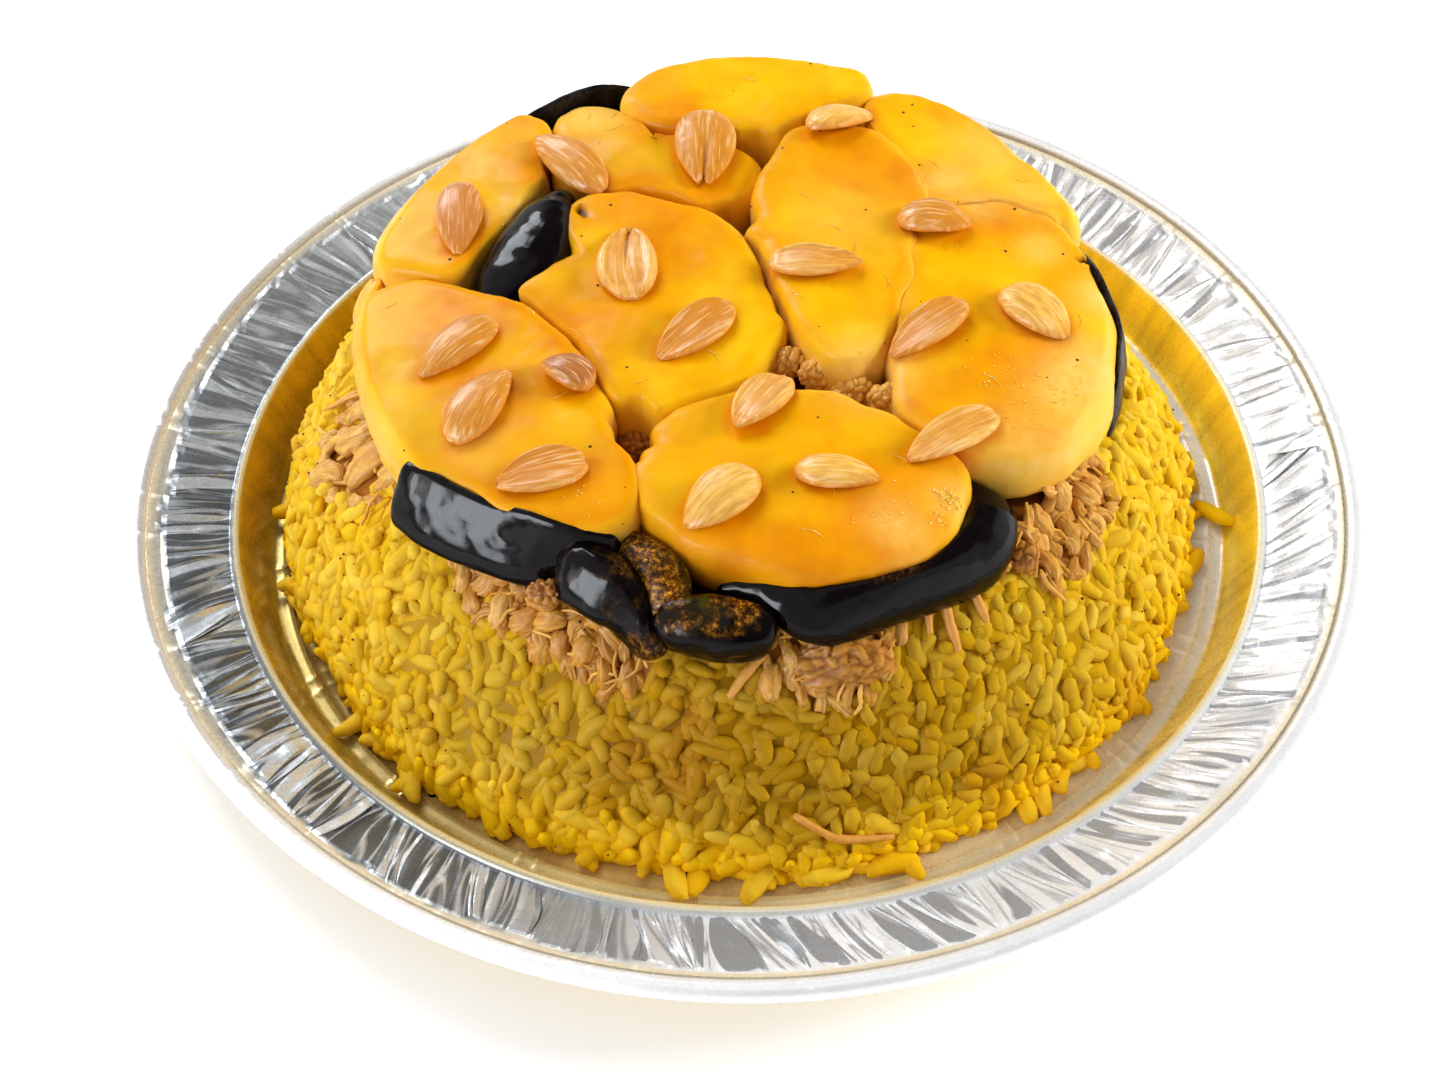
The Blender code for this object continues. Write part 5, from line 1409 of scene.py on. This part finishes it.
        # Its lower side is browner, and its right end is rough.
        low = (1 - smooth(0.2, 0.85, height)) * smooth(-0.2, 0.5, -outward[:, 1])
        tones[:, 1] = np.clip(tones[:, 1] + 0.8 * low, 0, 1)
        tones[:, 2] = np.clip(tones[:, 2] + 0.25 * low, 0, 1)
        tones[:, 0] *= 1 - 0.7 * low
        worn = np.exp(-(((x - 42.0) / 9.0) ** 2 + ((y + 58.0) / 11.0) ** 2))
        points[:, 2] += worn * upper * (0.35 * noise(points, 2.2, 61) + 0.25 * np.abs(noise(points, 1.2, 62)))
    if tone_of is not None:
        tones = tone_of(points, inset, height)
    return piece(nodes or name, points, quads, tris, look, tones, (name,)), points, quads, tris


def band_sections(values, outlines, blockers):
    """Cross-sections of a strip of skin along part of a slice's rim, or round the bed, tapered at both ends."""
    around, start, end, wide_a, wide_b, tall_a, tall_b, below = values
    middle = np.array(SLICES[around][:2]) if around else np.array(BED_CENTRE)
    own = outlines[around] if around else None
    sections = []
    for k in range(BAND_STEPS + 1):
        share = k / BAND_STEPS
        turn = math.radians(start + (end - start) * share)
        ray = np.array((math.cos(turn), math.sin(turn)))
        inner = 84.0 if own is None else 5.0
        tests = list(blockers.values()) if own is None else [own]
        while any(too_near(middle + ray * inner, other, 1.0) for other in tests):
            inner += 0.3
        ease = math.sin(math.pi * min(1, max(0, 0.04 + 0.92 * share))) ** 0.55
        width = (wide_a + (wide_b - wide_a) * share) * ease
        outer = inner + max(0.9, width)
        if own is not None:
            while outer > inner + 1.2 and math.dist(middle + ray * outer, BED_CENTRE) > BED_STEEP_R + 3.5:
                outer -= 0.3
        while outer > inner + 0.8 and any(too_near(middle + ray * outer, other, 1.0) for key, other in blockers.items()
                                          if key != around):
            outer -= 0.3
        tall = (tall_a + (tall_b - tall_a) * share) * (0.45 + 0.55 * ease)
        inside, outside = middle + ray * inner, middle + ray * outer
        half = 0.5 * (inside + outside)
        low = max(bed(*inside), bed(*outside)) + GAP + 0.2
        low_out = bed(*outside) + GAP + 0.2
        high = low + tall - below
        sections.append([
            (*inside, low), (*half, max(bed(*half) + GAP + 0.2, 0.5 * (low + low_out))), (*outside, low_out + 0.1 * tall),
            (*(outside + ray * 0.25), 0.5 * (low_out + high)), (*half, high - 0.02 * tall), (*inside, high),
        ])
    plan = np.array([section[2][:2] for section in sections] + [section[0][:2] for section in reversed(sections)])
    return np.array(sections), plan


def fine_strip(name, sections, look, nodes, seed, tone_of=None, along=110, round_=30, wrinkle=0.25, fat=0.35):
    """A smooth strip through the sections, rounded at both ends and a little creased along its length."""
    rows = open_curve(sections, along)
    grid = np.array([closed_curve(row, round_) for row in rows])
    hearts = grid.mean(1)
    share = np.linspace(0, 1, along)
    tip = np.sqrt(np.clip(1 - (np.abs(share - 0.5) / 0.5) ** 14, 0.02, 1))
    grid = hearts[:, None] + (grid - hearts[:, None]) * tip[:, None, None]
    out = unit(grid - hearts[:, None] + 1e-9)
    spots = grid.reshape(-1, 3)
    push = fat + 0.4 * noise(spots, 7.0, seed) + 0.16 * noise(spots, 2.8, seed + 1) - wrinkle * np.abs(noise(spots * np.array((1, 1, 2.2)), 4.5, seed + 2))
    grid = grid + out * push.reshape(along, round_)[..., None]
    points, quads, tris = capped(grid, hearts[0] - (hearts[1] - hearts[0]) * 0.6, hearts[-1] + (hearts[-1] - hearts[-2]) * 0.6)
    places = np.append(np.repeat(share, round_), (0, 1))
    tones = np.zeros((len(points), 4))
    tones[:, 3] = 1
    if tone_of is not None:
        tones[:, :3] = tone_of(points, places)
    return piece(name, points, quads, tris, look, tones, nodes)


def loaf(stations, square=2.4, sides=12):
    """Cross-sections of a soft bent piece: each station is x, y, z, half width, half height, roll in degrees."""
    stations = np.array(stations, float)
    path = stations[:, :3]
    ahead = unit(np.gradient(path, axis=0))
    sections = []
    for spot, way, (_, _, _, half_wide, half_high, roll) in zip(path, ahead, stations):
        side = unit(np.cross(way, (0, 0, 1.0)))
        top = np.cross(side, way)
        turn = math.radians(roll)
        side, top = side * math.cos(turn) + top * math.sin(turn), top * math.cos(turn) - side * math.sin(turn)
        loop = []
        for k in range(sides):
            angle = 2 * math.pi * k / sides
            c, s = math.cos(angle), math.sin(angle)
            loop.append(spot + side * half_wide * math.copysign(abs(c) ** (2 / square), c) + top * half_high * math.copysign(abs(s) ** (2 / square), s))
        sections.append(loop)
    return np.array(sections)


# The folded slice between the two front ones: x, y, z, half width, half height, roll.
FOLD_LOAVES = {
    "aubergine_fold_left": ((-40.0, -68.5, 57.5, 3.0, 4.5, 20), (-36.8, -70.8, 58.0, 5.6, 6.6, 34), (-32.3, -73.4, 57.8, 6.8, 7.4, 36),
                            (-27.4, -76.2, 56.8, 6.8, 7.0, 34), (-23.6, -79.4, 54.8, 5.8, 6.0, 28), (-21.6, -82.6, 51.6, 4.8, 5.2, 26),
                            (-20.4, -85.4, 48.8, 3.4, 4.0, 22), (-19.6, -87.0, 47.2, 1.8, 2.4, 20)),
    "aubergine_fold_flesh": ((-28.5, -63.5, 60.6, 2.0, 2.0, 0), (-25.0, -66.8, 61.0, 3.4, 3.0, 0), (-20.8, -70.8, 61.0, 4.6, 3.6, 4),
                             (-17.4, -74.8, 60.2, 5.2, 4.0, 6), (-16.4, -78.6, 58.2, 4.8, 4.0, 6), (-17.6, -81.6, 55.6, 3.6, 3.4, 0),
                             (-19.0, -83.8, 53.0, 2.0, 2.4, 0)),
    "aubergine_fold_low": ((-19.4, -82.6, 53.8, 2.8, 4.4, -18), (-17.0, -82.8, 54.2, 5.2, 6.0, -18), (-11.5, -83.6, 54.4, 6.4, 6.6, -20),
                           (-5.5, -84.4, 54.2, 6.6, 6.6, -20), (-0.2, -84.8, 53.6, 6.0, 6.2, -16), (3.6, -84.2, 52.8, 4.8, 5.8, -10),
                           (5.6, -83.6, 52.4, 2.6, 4.4, -8)),
}


# The broad strip between the back left and the centre left slice, in the same way.
GAP_SKIN = ((-43.0, 41.0, 67.5, 1.8, 3.2, 0), (-44.6, 36.0, 68.0, 4.4, 5.8, -8), (-47.2, 29.0, 68.2, 7.4, 7.4, -14), (-50.0, 21.8, 67.8, 9.6, 8.0, -16),
            (-52.6, 14.2, 67.2, 10.2, 8.2, -14), (-55.6, 7.6, 65.6, 8.6, 7.8, -8), (-57.8, 1.6, 63.4, 6.2, 6.6, 0), (-59.0, -3.6, 61.0, 4.0, 5.0, 0),
            (-60.2, -7.0, 59.8, 2.2, 3.4, 0))


def make_aubergine(flesh, skin):
    reaches, outlines = {}, {}
    for name, spec in SLICES.items():
        reaches[name], outlines[name] = pressed_outline(spec, SLICE_STEPS, list(outlines.values()))
    shapes = []
    rims = touching_rims({name: shaped_rim(name, spec, reaches[name]) for name, spec in SLICES.items()})
    turns = np.arange(FINE_STEPS) * 2 * math.pi / FINE_STEPS
    rays = np.c_[np.cos(turns), np.sin(turns)]
    for number, (name, spec) in enumerate(SLICES.items()):
        _, points, quads, tris = fine_slab(name, spec, rims[name], flesh, seed=11 * number, nodes=name + "_slice")
        shapes.append((points, quads, tris))
        outlines[name] = np.array(spec[:2]) + rays[::4] * (rims[name][::4, None] - 1.4)

    placed = dict(outlines)
    for number, (name, values) in enumerate(BANDS.items()):
        sections, placed[name] = band_sections(values, outlines, placed)
        sections = sections.copy()
        if name == "aubergine_skin_back":
            # Its left part runs on low along the slices.
            run = smooth(0.3, 1.0, np.linspace(0, 1, len(sections)))
            for k, section in enumerate(sections):
                section += np.array((-8.0 * run[k], -3.0 * run[k], -2.5 * run[k]))
        if name == "aubergine_skin_front":
            # It peeps out below the slice at the left and stands up to its right.
            share = np.linspace(0, 1, len(sections))
            lower = (1 - smooth(0.45, 0.90, share))
            bulge = np.sin(np.linspace(0.3, math.pi - 0.1, len(sections))) ** 0.7
            heart = np.array((*SLICES["aubergine_front"][:2], 0))
            for k, section in enumerate(sections):
                way = section[2] - heart
                way[2] = 0
                way = way / np.linalg.norm(way)
                section[:3] += np.array((0, 0, 3.6 * lower[k]))
                section[2] += way * 0.8 * bulge[k] + np.array((0, 0, -1.0 * bulge[k]))
                section[3] += way * 1.4 * bulge[k] + np.array((0, 0, 2.2 * lower[k]))
                section[4] += way * 0.8 * bulge[k] + np.array((0, 0, 2.6 * lower[k]))
                section[5] += np.array((0, 0, 3.0 * lower[k]))

        def tone_of(points, places, name=name):
            tones = np.zeros((len(points), 3))
            if name == "aubergine_skin_right":
                tones[:, 0] = np.clip(0.75 + 0.6 * noise(points * np.array((1, 1, 0.4)), 2.0, 5), 0, 1)
            elif name == "aubergine_skin_back":
                tones[:, 0] = np.clip(0.22 + 0.4 * noise(points, 4.0, 6), 0, 1)
            elif name == "aubergine_skin_front":
                tones[:, 1] = np.clip(0.8 * np.exp(-((places - 0.56) / 0.08) ** 2) * smooth(63.0, 65.5, points[:, 2]), 0, 1) * 0.7
            return tones

        if name == "aubergine_skin_gap":
            # It bulges up broadly between the two slices.
            sections = loaf(GAP_SKIN, square=2.2)
        fine_strip(name + "_strip", sections, skin, (name,), 300 + 7 * number, tone_of)

    # The front left slice keeps its skin: a thick strip down its whole side. Direction, radius and height of the strip's upper
    # edge, then of its lower one.
    spec = SLICES["aubergine_front_left"]
    middle = np.array(spec[:2])
    stations = np.array((
        (-134, 24.0, 66.6, 27.6, 55.5), (-131, 24.2, 66.9, 29.4, 52.8), (-125, 24.4, 67.0, 30.0, 52.4), (-118, 24.2, 67.2, 30.8, 52.3), (-104, 25.6, 67.2, 32.6, 52.3),
        (-92, 28.4, 67.2, 35.2, 52.2), (-81, 32.1, 67.0, 38.8, 51.8), (-73, 36.0, 68.2, 41.8, 51.6), (-66, 40.6, 68.4, 44.6, 52.2), (-60, 45.0, 68.0, 47.6, 54.4),
        (-55, 48.0, 67.0, 49.6, 57.5), (-51, 49.6, 66.0, 50.6, 59.5)))
    sections = []
    for direction, upper, top_z, lower, low_z in open_curve(stations, 30):
        ray = np.array((math.cos(math.radians(direction)), math.sin(math.radians(direction))))
        tall = top_z - low_z
        full = min(1.0, tall / 16.0)
        loop = []
        for outward, share in ((-1.6, 0.95), (-0.1, 1.0), (0.8, 0.93), (1.7, 0.74), (2.6, 0.48), (3.1, 0.22), (2.0, 0.02), (-1.6, 0.02), (-3.0, 0.40)):
            reach = upper + (lower - upper) * (1 - share) + outward * (0.35 + 0.65 * full)
            loop.append((*(middle + ray * reach), low_z + tall * share))
        sections.append(loop)

    def left_tone(points, places):
        tones = np.zeros((len(points), 3))
        tones[:, 0] = np.clip(0.55 * (1 - smooth(0.03, 0.10, places)) * (0.6 + noise(points * np.array((1, 1, 0.3)), 1.6, 31)), 0, 1)
        return tones

    fine_strip("aubergine_front_left_skin", np.array(sections), skin, (), 390, left_tone, along=190, round_=36, wrinkle=0.2, fat=0.0)

    def fold_tone(name):
        def tone(points, places):
            patch, fine = noise(points, 5.0, 70), noise(points, 1.8, 75)
            tones = np.zeros((len(points), 3))
            if name == "aubergine_fold_flesh":
                tones[:, 1] = np.clip(0.80 + 0.4 * fine, 0, 1)
                tones[:, 2] = np.clip(0.3 + patch, 0, 1) * 0.7
            elif name == "aubergine_fold_low":
                high = smooth(56.5, 59.0, points[:, 2] + 0.3 * (points[:, 1] + 85)) * (1 - smooth(0.0, 4.0, points[:, 0]))
                middle = np.exp(-(((points[:, 0] + 9.0) / 4.0) ** 2))
                tones[:, 2] = np.clip(high * (0.5 + patch) * (0.4 + 0.6 * middle), 0, 1) * 0.8
                tones[:, 1] = np.clip(high * (0.45 + 1.4 * fine) * (1 - 0.5 * middle), 0, 1)
            else:
                tones[:, 1] = np.clip(0.35 * smooth(0.2, 0.7, patch) * smooth(-30.0, -24.0, points[:, 0]) + 0.12 * fine, 0, 1)
            return tones
        return tone

    for number, (name, stations) in enumerate(FOLD_LOAVES.items()):
        flat = name == "aubergine_fold_left"
        fine_strip(name + "_piece", loaf(stations, 3.4 if flat else 2.4, 16), skin, (name,), 420 + 9 * number, fold_tone(name), along=80, round_=40,
                   wrinkle=0.3 if flat else 0.9, fat=0.3)
    spec = FOLDS["aubergine_wedge_left"]
    reach, _ = pressed_outline(spec, FOLD_STEPS, list(placed.values()))
    wedge_rim = closed_curve(reach, 80) + SWELL
    short = tuple((min(inset, 3.4), height) for inset, height in RIM_SECTION[2:])
    fine_slab("aubergine_wedge_left", spec, wedge_rim, flesh, steps=80, seed=140, nodes="aubergine_wedge_left_slice", section=short)
    return reaches, shapes


# ---------------------------------------------------------------- almonds

SPLIT = {2: 1.0, 5: 1.0}           # almonds that part along the middle; at the pointed end or at the round one
CUT_SIDE_UP = (5, 6, 7, 9, 11, 12, 15)
PALE_NUTS = (5, 7, 11, 12, 13, 14, 3, 10)
NUT_ROWS, NUT_COLUMNS = 40, 44


def surface_tree(shapes):
    points, faces, count = [], [], 0
    for spots, quads, tris in shapes:
        points.append(spots)
        faces += (quads + count).tolist() + (tris + count).tolist()
        count += len(spots)
    return BVHTree.FromPolygons(np.concatenate(points).tolist(), faces)


def height_on(tree, x, y, otherwise=None):
    spot, _, _, _ = tree.ray_cast(Vector((x, y, 120.0)), Vector((0, 0, -1)))
    return spot.z if spot is not None else otherwise


def make_nuts(reaches, tree, look):
    for number, values in enumerate(ALMONDS, 1):
        x, y, direction, length, width = values
        source = np.random.default_rng(500 + number)
        turn = math.radians(direction)
        along, across = np.array((math.cos(turn), math.sin(turn))), np.array((-math.sin(turn), math.cos(turn)))
        spots = [(0.5 * length * a, 0.5 * width * b * (1 - 0.7 * abs(a))) for a in np.linspace(-1, 1, 9) for b in (-1, -0.5, 0, 0.5, 1)]
        heights = np.array([top_of_slices(*(np.array((x, y)) + along * u + across * v), reaches) for u, v in spots])
        plan = np.c_[np.array(spots), np.ones(len(spots))]
        held = heights > heights.max() - ALMOND_SPAN
        rise_u, rise_v, _ = np.linalg.lstsq(plan[held], heights[held], rcond=None)[0]
        rise_u, rise_v = (float(np.clip(rise, -ALMOND_LEAN, ALMOND_LEAN)) for rise in (rise_u, rise_v))
        real = [height_on(tree, *(np.array((x, y)) + along * u + across * v), otherwise=-99.0) for u, v in spots]
        over = np.sort(np.array(real) - plan[:, 0] * rise_u - plan[:, 1] * rise_v)
        base = float(over[-6]) - 0.15
        axis_u = Vector((*along, rise_u)).normalized()
        axis_w = axis_u.cross(Vector((*across, rise_v))).normalized()
        axis_v = axis_w.cross(axis_u).normalized()
        turned = np.array((axis_u, axis_v, axis_w))

        cut = number in CUT_SIDE_UP
        angles = np.arange(NUT_COLUMNS) * 2 * math.pi / NUT_COLUMNS
        cosine, sine = np.cos(angles), np.sin(angles)
        lopsided = source.normal(0, 0.05)
        grooves = source.integers(5, 8)
        phase = source.uniform(0, 6.28)
        grid, tones, grains_at = np.zeros((NUT_ROWS, NUT_COLUMNS, 3)), np.zeros((NUT_ROWS, NUT_COLUMNS, 4)), np.zeros((NUT_ROWS, NUT_COLUMNS, 4))
        base_tone = np.array(srgb(213, 142, 38)) if number not in PALE_NUTS else np.array(srgb(240, 190, 88))
        if number in (4, 18):
            base_tone = np.array(srgb(206, 132, 62)) if number == 4 else np.array(srgb(172, 104, 52))
        for r in range(NUT_ROWS):
            share = (r + 0.35) / (NUT_ROWS - 0.3)
            if share < 0.42:
                full = max(0.0, 1 - ((0.42 - share) / 0.425) ** 2) ** 0.5
            else:
                full = math.cos(0.5 * math.pi * (share - 0.42) / 0.595) ** 0.68
            half = 0.5 * width * full
            thick = 0.92 * ALMOND_THICK * full ** 0.8
            u = length * (share - 0.5)
            v = half * np.sign(cosine) * np.abs(cosine) ** 0.92
            w = np.where(sine > 0, thick * (0.35 + 0.65 * np.abs(sine) ** 0.85), 0.35 * thick * (1 + sine))
            aside = v / max(half, 0.3)
            lines = np.sin(grooves * 2.2 * aside + phase + 0.9 * math.sin(4 * share + phase) + 3.0 * noise(np.c_[np.full(NUT_COLUMNS, u), v * 1.6], 4.0, number))
            groove = np.clip(lines - 0.35, 0, 1) * (sine > 0.05) * math.sin(math.pi * share) ** 0.5
            inner = np.zeros(NUT_COLUMNS)
            if cut:
                flat = thick * 0.72
                inner = (1 - smooth(0.62, 0.78, np.abs(aside))) * (sine > 0) * float(smooth(0.06, 0.16, share)) * float(1 - smooth(0.84, 0.95, share))
                w = np.where(sine > 0, np.minimum(w, flat + 0.06 * thick * np.abs(aside)), w)
                w = w - 0.42 * inner
                groove = groove * 0.6
            w = w - 0.26 * groove
            if number in SPLIT:
                near = share if SPLIT[number] else 1 - share
                slit = np.exp(-(aside / 0.13) ** 2) * float(smooth(0.25, 0.8, near)) * (sine > 0)
                w = w - 1.5 * slit
                inner = np.maximum(inner, 0)
                groove = np.maximum(groove, 1.2 * slit)
                pull = 2.2 * float(smooth(0.85, 1.0, near)) * np.exp(-(aside / 0.5) ** 2)
                u = u - pull * (1 if SPLIT[number] else -1)
            bend = lopsided * width * math.sin(math.pi * share)
            grid[r] = np.c_[np.full(NUT_COLUMNS, u) if np.isscalar(u) else u, v + bend, w]
            tone = blend(np.repeat(base_tone[None], NUT_COLUMNS, 0), srgb(186, 108, 38), np.clip(0.5 * groove, 0, 1))
            tone = blend(tone, srgb(214, 140, 50), 0.55 * inner)
            edge = smooth(0.78, 0.98, np.abs(aside)) * (0.6 if cut else 0.25)
            tone = blend(tone, srgb(246, 206, 130), edge)
            tone = blend(tone, srgb(244, 202, 128), 0.45 * float(1 - smooth(0.0, 0.14, share)))
            tone = blend(tone, srgb(220, 140, 20), 0.7 * (1 - smooth(0.20, 0.70, w / ALMOND_THICK)))
            tones[r] = np.c_[tone, np.ones(NUT_COLUMNS)]
            grains_at[r] = np.c_[0.001 * v * (1.0 + 0.5 * share), np.full(NUT_COLUMNS, 0.0016 * share + 0.02 * number), 0.0004 * np.clip(w, 0, 9), np.ones(NUT_COLUMNS)]
        ends = np.array(((-0.5 * length, 0, 0.3 * ALMOND_THICK), (0.5 * length, 0, 0.25 * ALMOND_THICK)))
        if number in SPLIT:
            ends[1 if SPLIT[number] else 0, 0] *= 1 - 4.4 / length
        points, quads, tris = capped(grid, ends[0], ends[1])
        points = points + 0.16 * noise(points, 4.0, 60 + number)[:, None] * np.array((0.3, 1.0, 0.8))
        placed = np.array((x, y, base)) + points @ turned
        all_tones = np.concatenate([tones.reshape(-1, 4), tones[0, :1], tones[-1, :1]])
        all_grains = np.concatenate([grains_at.reshape(-1, 4), grains_at[0, :1], grains_at[-1, :1]])
        piece(f"almond_{number:02d}_half", placed, quads, tris, look, all_tones, (f"almond_{number:02d}",), extra={"grain": all_grains})


# ---------------------------------------------------------------- small things

def ball(middle, radius, flat=1.0, rows=6, columns=8):
    angles = np.arange(columns) * 2 * math.pi / columns
    grid = np.zeros((rows, columns, 3))
    for r in range(rows):
        tilt = math.pi * (r + 0.5) / rows
        grid[r] = np.c_[np.sin(tilt) * np.cos(angles), np.sin(tilt) * np.sin(angles), np.full(columns, flat * math.cos(tilt))]
    return capped(middle + grid * radius, middle + np.array((0, 0, flat * radius)), middle - np.array((0, 0, flat * radius)))


def make_small_things(tree, glaze, specks):
    source = np.random.default_rng(77)
    foam = Heap()
    # Froth and bubbles: x, y, spread, count, largest radius.
    for x, y, spread, count, largest in ((43.7, -60.5, 3.0, 44, 0.5), (41.0, -66.0, 3.0, 20, 0.4), (65.6, -4.2, 3.0, 24, 0.5), (58.0, -26.0, 9.0, 26, 0.35),
                                         (70.0, -30.0, 8.0, 34, 0.34), (60.0, -40.0, 9.0, 20, 0.34), (60.0, 12.0, 8.0, 12, 0.3),
                                         (30.0, -66.0, 8.0, 16, 0.34), (-36.0, -60.0, 6.0, 10, 0.34), (26.0, -22.0, 7.0, 10, 0.4), (-55.0, 30.0, 5.0, 10, 0.3)):
        for _ in range(count):
            spot = np.array((x, y)) + source.normal(0, spread * 0.5, 2)
            level = height_on(tree, *spot)
            if level is None:
                continue
            radius = source.uniform(0.18, largest)
            foam.add(*ball(np.array((*spot, level + 0.1 * radius)), radius, 0.8), (*srgb(248, 196, 70), 1))
    # Thin threads of glaze that catch the light.
    for _ in range(46):
        spot = source.uniform(-85, 85, 2)
        if math.hypot(*spot) > 84:
            continue
        level = height_on(tree, *spot)
        if level is None or level < 66:
            continue
        turn = source.uniform(0, math.pi)
        path = []
        for t in np.linspace(-0.5, 0.5, 5):
            long = source.uniform(3.0, 6.0)
            at = spot + np.array((math.cos(turn + 0.6 * t), math.sin(turn + 0.6 * t))) * long * t
            z = height_on(tree, *at)
            path.append((*at, (z if z is not None else level) + 0.05))
        foam.add(*strand(path, 0.14, source), (*srgb(250, 190, 50), 1))
    foam.made("glaze_froth", glaze, (), None)

    dark = Heap()
    count = 0
    while count < 46:
        spot = source.uniform(-88, 88, 2)
        level = height_on(tree, *spot)
        if level is None or level < 60:
            continue
        count += 1
        dark.add(*ball(np.array((*spot, level)), source.uniform(0.18, 0.42), 0.6), (*srgb(70, 40, 16), 1))
    for _ in range(120):
        turn = np.array([source.uniform(-math.pi, math.pi)])
        point, out, _, _ = (item[0] for item in on_side(turn, np.array([source.uniform(4, 50)])))
        dark.add(*ball(point + out * 1.0, source.uniform(0.2, 0.42), 0.8), (*srgb(84, 48, 18), 1))
    dark.made("spice_specks", specks, (), None)


# ---------------------------------------------------------------- room

def area_light(name, place, aim, size, watts, colour=(1.0, 1.0, 1.0), tall=None):
    data = bpy.data.lights.new(name, "AREA")
    data.energy, data.color = watts, colour
    data.size = size
    if tall:
        data.shape, data.size_y = "RECTANGLE", tall
    made = bpy.data.objects.new(name, data)
    made.location = place
    made.rotation_mode = "QUATERNION"
    made.rotation_quaternion = (Vector(aim) - Vector(place)).to_track_quat("-Z", "Y")
    bpy.context.scene.collection.objects.link(made)
    return made


def make_room():
    mesh = bpy.data.meshes.new("floor")
    mesh.from_pydata([(-6, -6, 0), (6, -6, 0), (6, 6, 0), (-6, 6, 0)], [], [(0, 1, 2, 3)])
    look = Look("floor", roughness=0.7, Emission_Strength=0.2)
    look.shader.inputs["Emission Color"].default_value = (1.0, 1.0, 1.0, 1.0)
    look.link(look.ramp(look.noise(300, 2), (0.3, 0.95), (0.7, 0.98)), "Base Color")
    mesh.materials.append(look.material)
    floor = bpy.data.objects.new("floor", mesh)
    bpy.context.scene.collection.objects.link(floor)

    # White walls and a pale ceiling; the room's right half is dark above the height of the walls.
    world = bpy.data.worlds.new("studio")
    world.use_nodes = True
    tree = world.node_tree
    parts = tree.nodes.new("ShaderNodeSeparateXYZ")
    tree.links.new(tree.nodes.new("ShaderNodeTexCoord").outputs["Generated"], parts.inputs[0])

    def ranged(value, low, high, first, last):
        node = tree.nodes.new("ShaderNodeMapRange")
        node.interpolation_type = "SMOOTHSTEP"
        for key, number in (("From Min", low), ("From Max", high), ("To Min", first), ("To Max", last)):
            node.inputs[key].default_value = number
        tree.links.new(value, node.inputs["Value"])
        return node.outputs[0]

    def mixed(share, a, b):
        node = tree.nodes.new("ShaderNodeMix")
        node.data_type = "RGBA"
        tree.links.new(share, node.inputs[0])
        for socket, value in ((node.inputs[6], a), (node.inputs[7], b)):
            if isinstance(value, tuple):
                socket.default_value = (*value, 1.0)
            else:
                tree.links.new(value, socket)
        return node.outputs[2]

    ceiling = mixed(ranged(parts.outputs["X"], -0.35, 0.0, 0, 1), (1.0, 1.0, 1.0), (0.12, 0.125, 0.13))
    ceiling = mixed(ranged(parts.outputs["Z"], 0.90, 0.985, 0, 1), ceiling, (0.75, 0.75, 0.75))
    sky = mixed(ranged(parts.outputs["Z"], 0.20, 0.36, 0, 1), (0.98, 0.98, 0.98), ceiling)
    back = tree.nodes["Background"]
    tree.links.new(sky, back.inputs["Color"])
    back.inputs["Strength"].default_value = 0.95
    bpy.context.scene.world = world

    area_light("key", (-0.50, 0.80, 1.20), (0, 0, 0.05), 0.7, 9.6).visible_glossy = False
    area_light("glints", (-0.25, 0.95, 1.10), (0, 0, 0.05), 0.16, 0.7).visible_diffuse = False
    area_light("sheen", (-0.92, -0.78, 0.38), (0, 0, 0.05), 0.62, 18, (0.86, 0.93, 1.0), 0.50).visible_diffuse = False
    area_light("panel", (-0.56, 0.82, 0.72), (0, 0, 0.05), 0.55, 11, (0.88, 0.94, 1.0), 0.42).visible_diffuse = False
    area_light("left", (-0.95, -0.66, 0.42), (0, 0, 0.05), 0.7, 4.8, tall=0.5)
    area_light("right", (1.10, 0.12, 0.50), (0, 0, 0.05), 0.5, 13.5, tall=0.4).visible_glossy = False


CAMERA = dict(pixels=2000.0, distance=503.62, down=46.4085, roll=-0.53766, yaw=-0.75418, pitch=-2.63417, aim_z=21.0)


def make_camera():
    e, roll, yaw, pitch = (math.radians(CAMERA[key]) for key in ("down", "roll", "yaw", "pitch"))
    right = Vector((1, 0, 0))
    up = Vector((0, math.sin(e), math.cos(e)))
    ahead = Vector((0, math.cos(e), -math.sin(e)))
    place = Vector((0, 0, CAMERA["aim_z"])) - ahead * CAMERA["distance"]
    f1 = ahead * math.cos(yaw) + right * math.sin(yaw)
    r1 = right * math.cos(yaw) - ahead * math.sin(yaw)
    f2 = f1 * math.cos(pitch) + up * math.sin(pitch)
    u2 = up * math.cos(pitch) - f1 * math.sin(pitch)
    r3 = r1 * math.cos(roll) + u2 * math.sin(roll)
    u3 = u2 * math.cos(roll) - r1 * math.sin(roll)
    data = bpy.data.cameras.new("camera")
    data.sensor_width = 36.0
    data.lens = CAMERA["pixels"] * 36.0 / 1440
    data.clip_start, data.clip_end = 0.01, 50.0
    camera = bpy.data.objects.new("camera", data)
    camera.rotation_mode = "QUATERNION"
    camera.rotation_quaternion = Matrix((r3, u3, -f2)).transposed().to_quaternion()
    camera.location = place * MM
    bpy.context.scene.collection.objects.link(camera)
    bpy.context.scene.camera = camera


def main():
    make_platter_mesh(foil_look())
    rice = rice_look("rice")
    make_rice_heap(rice, rice)
    make_meat(meat_look())
    flesh, skin = flesh_look(), skin_look()
    reaches, shapes = make_aubergine(flesh, skin)
    tree = surface_tree(shapes)
    glaze = glaze_look()
    make_nuts(reaches, tree, nut_look())
    make_small_things(tree, glaze, meat_look())
    make_room()
    make_camera()
    bpy.context.scene.view_settings.view_transform = "Standard"


main()
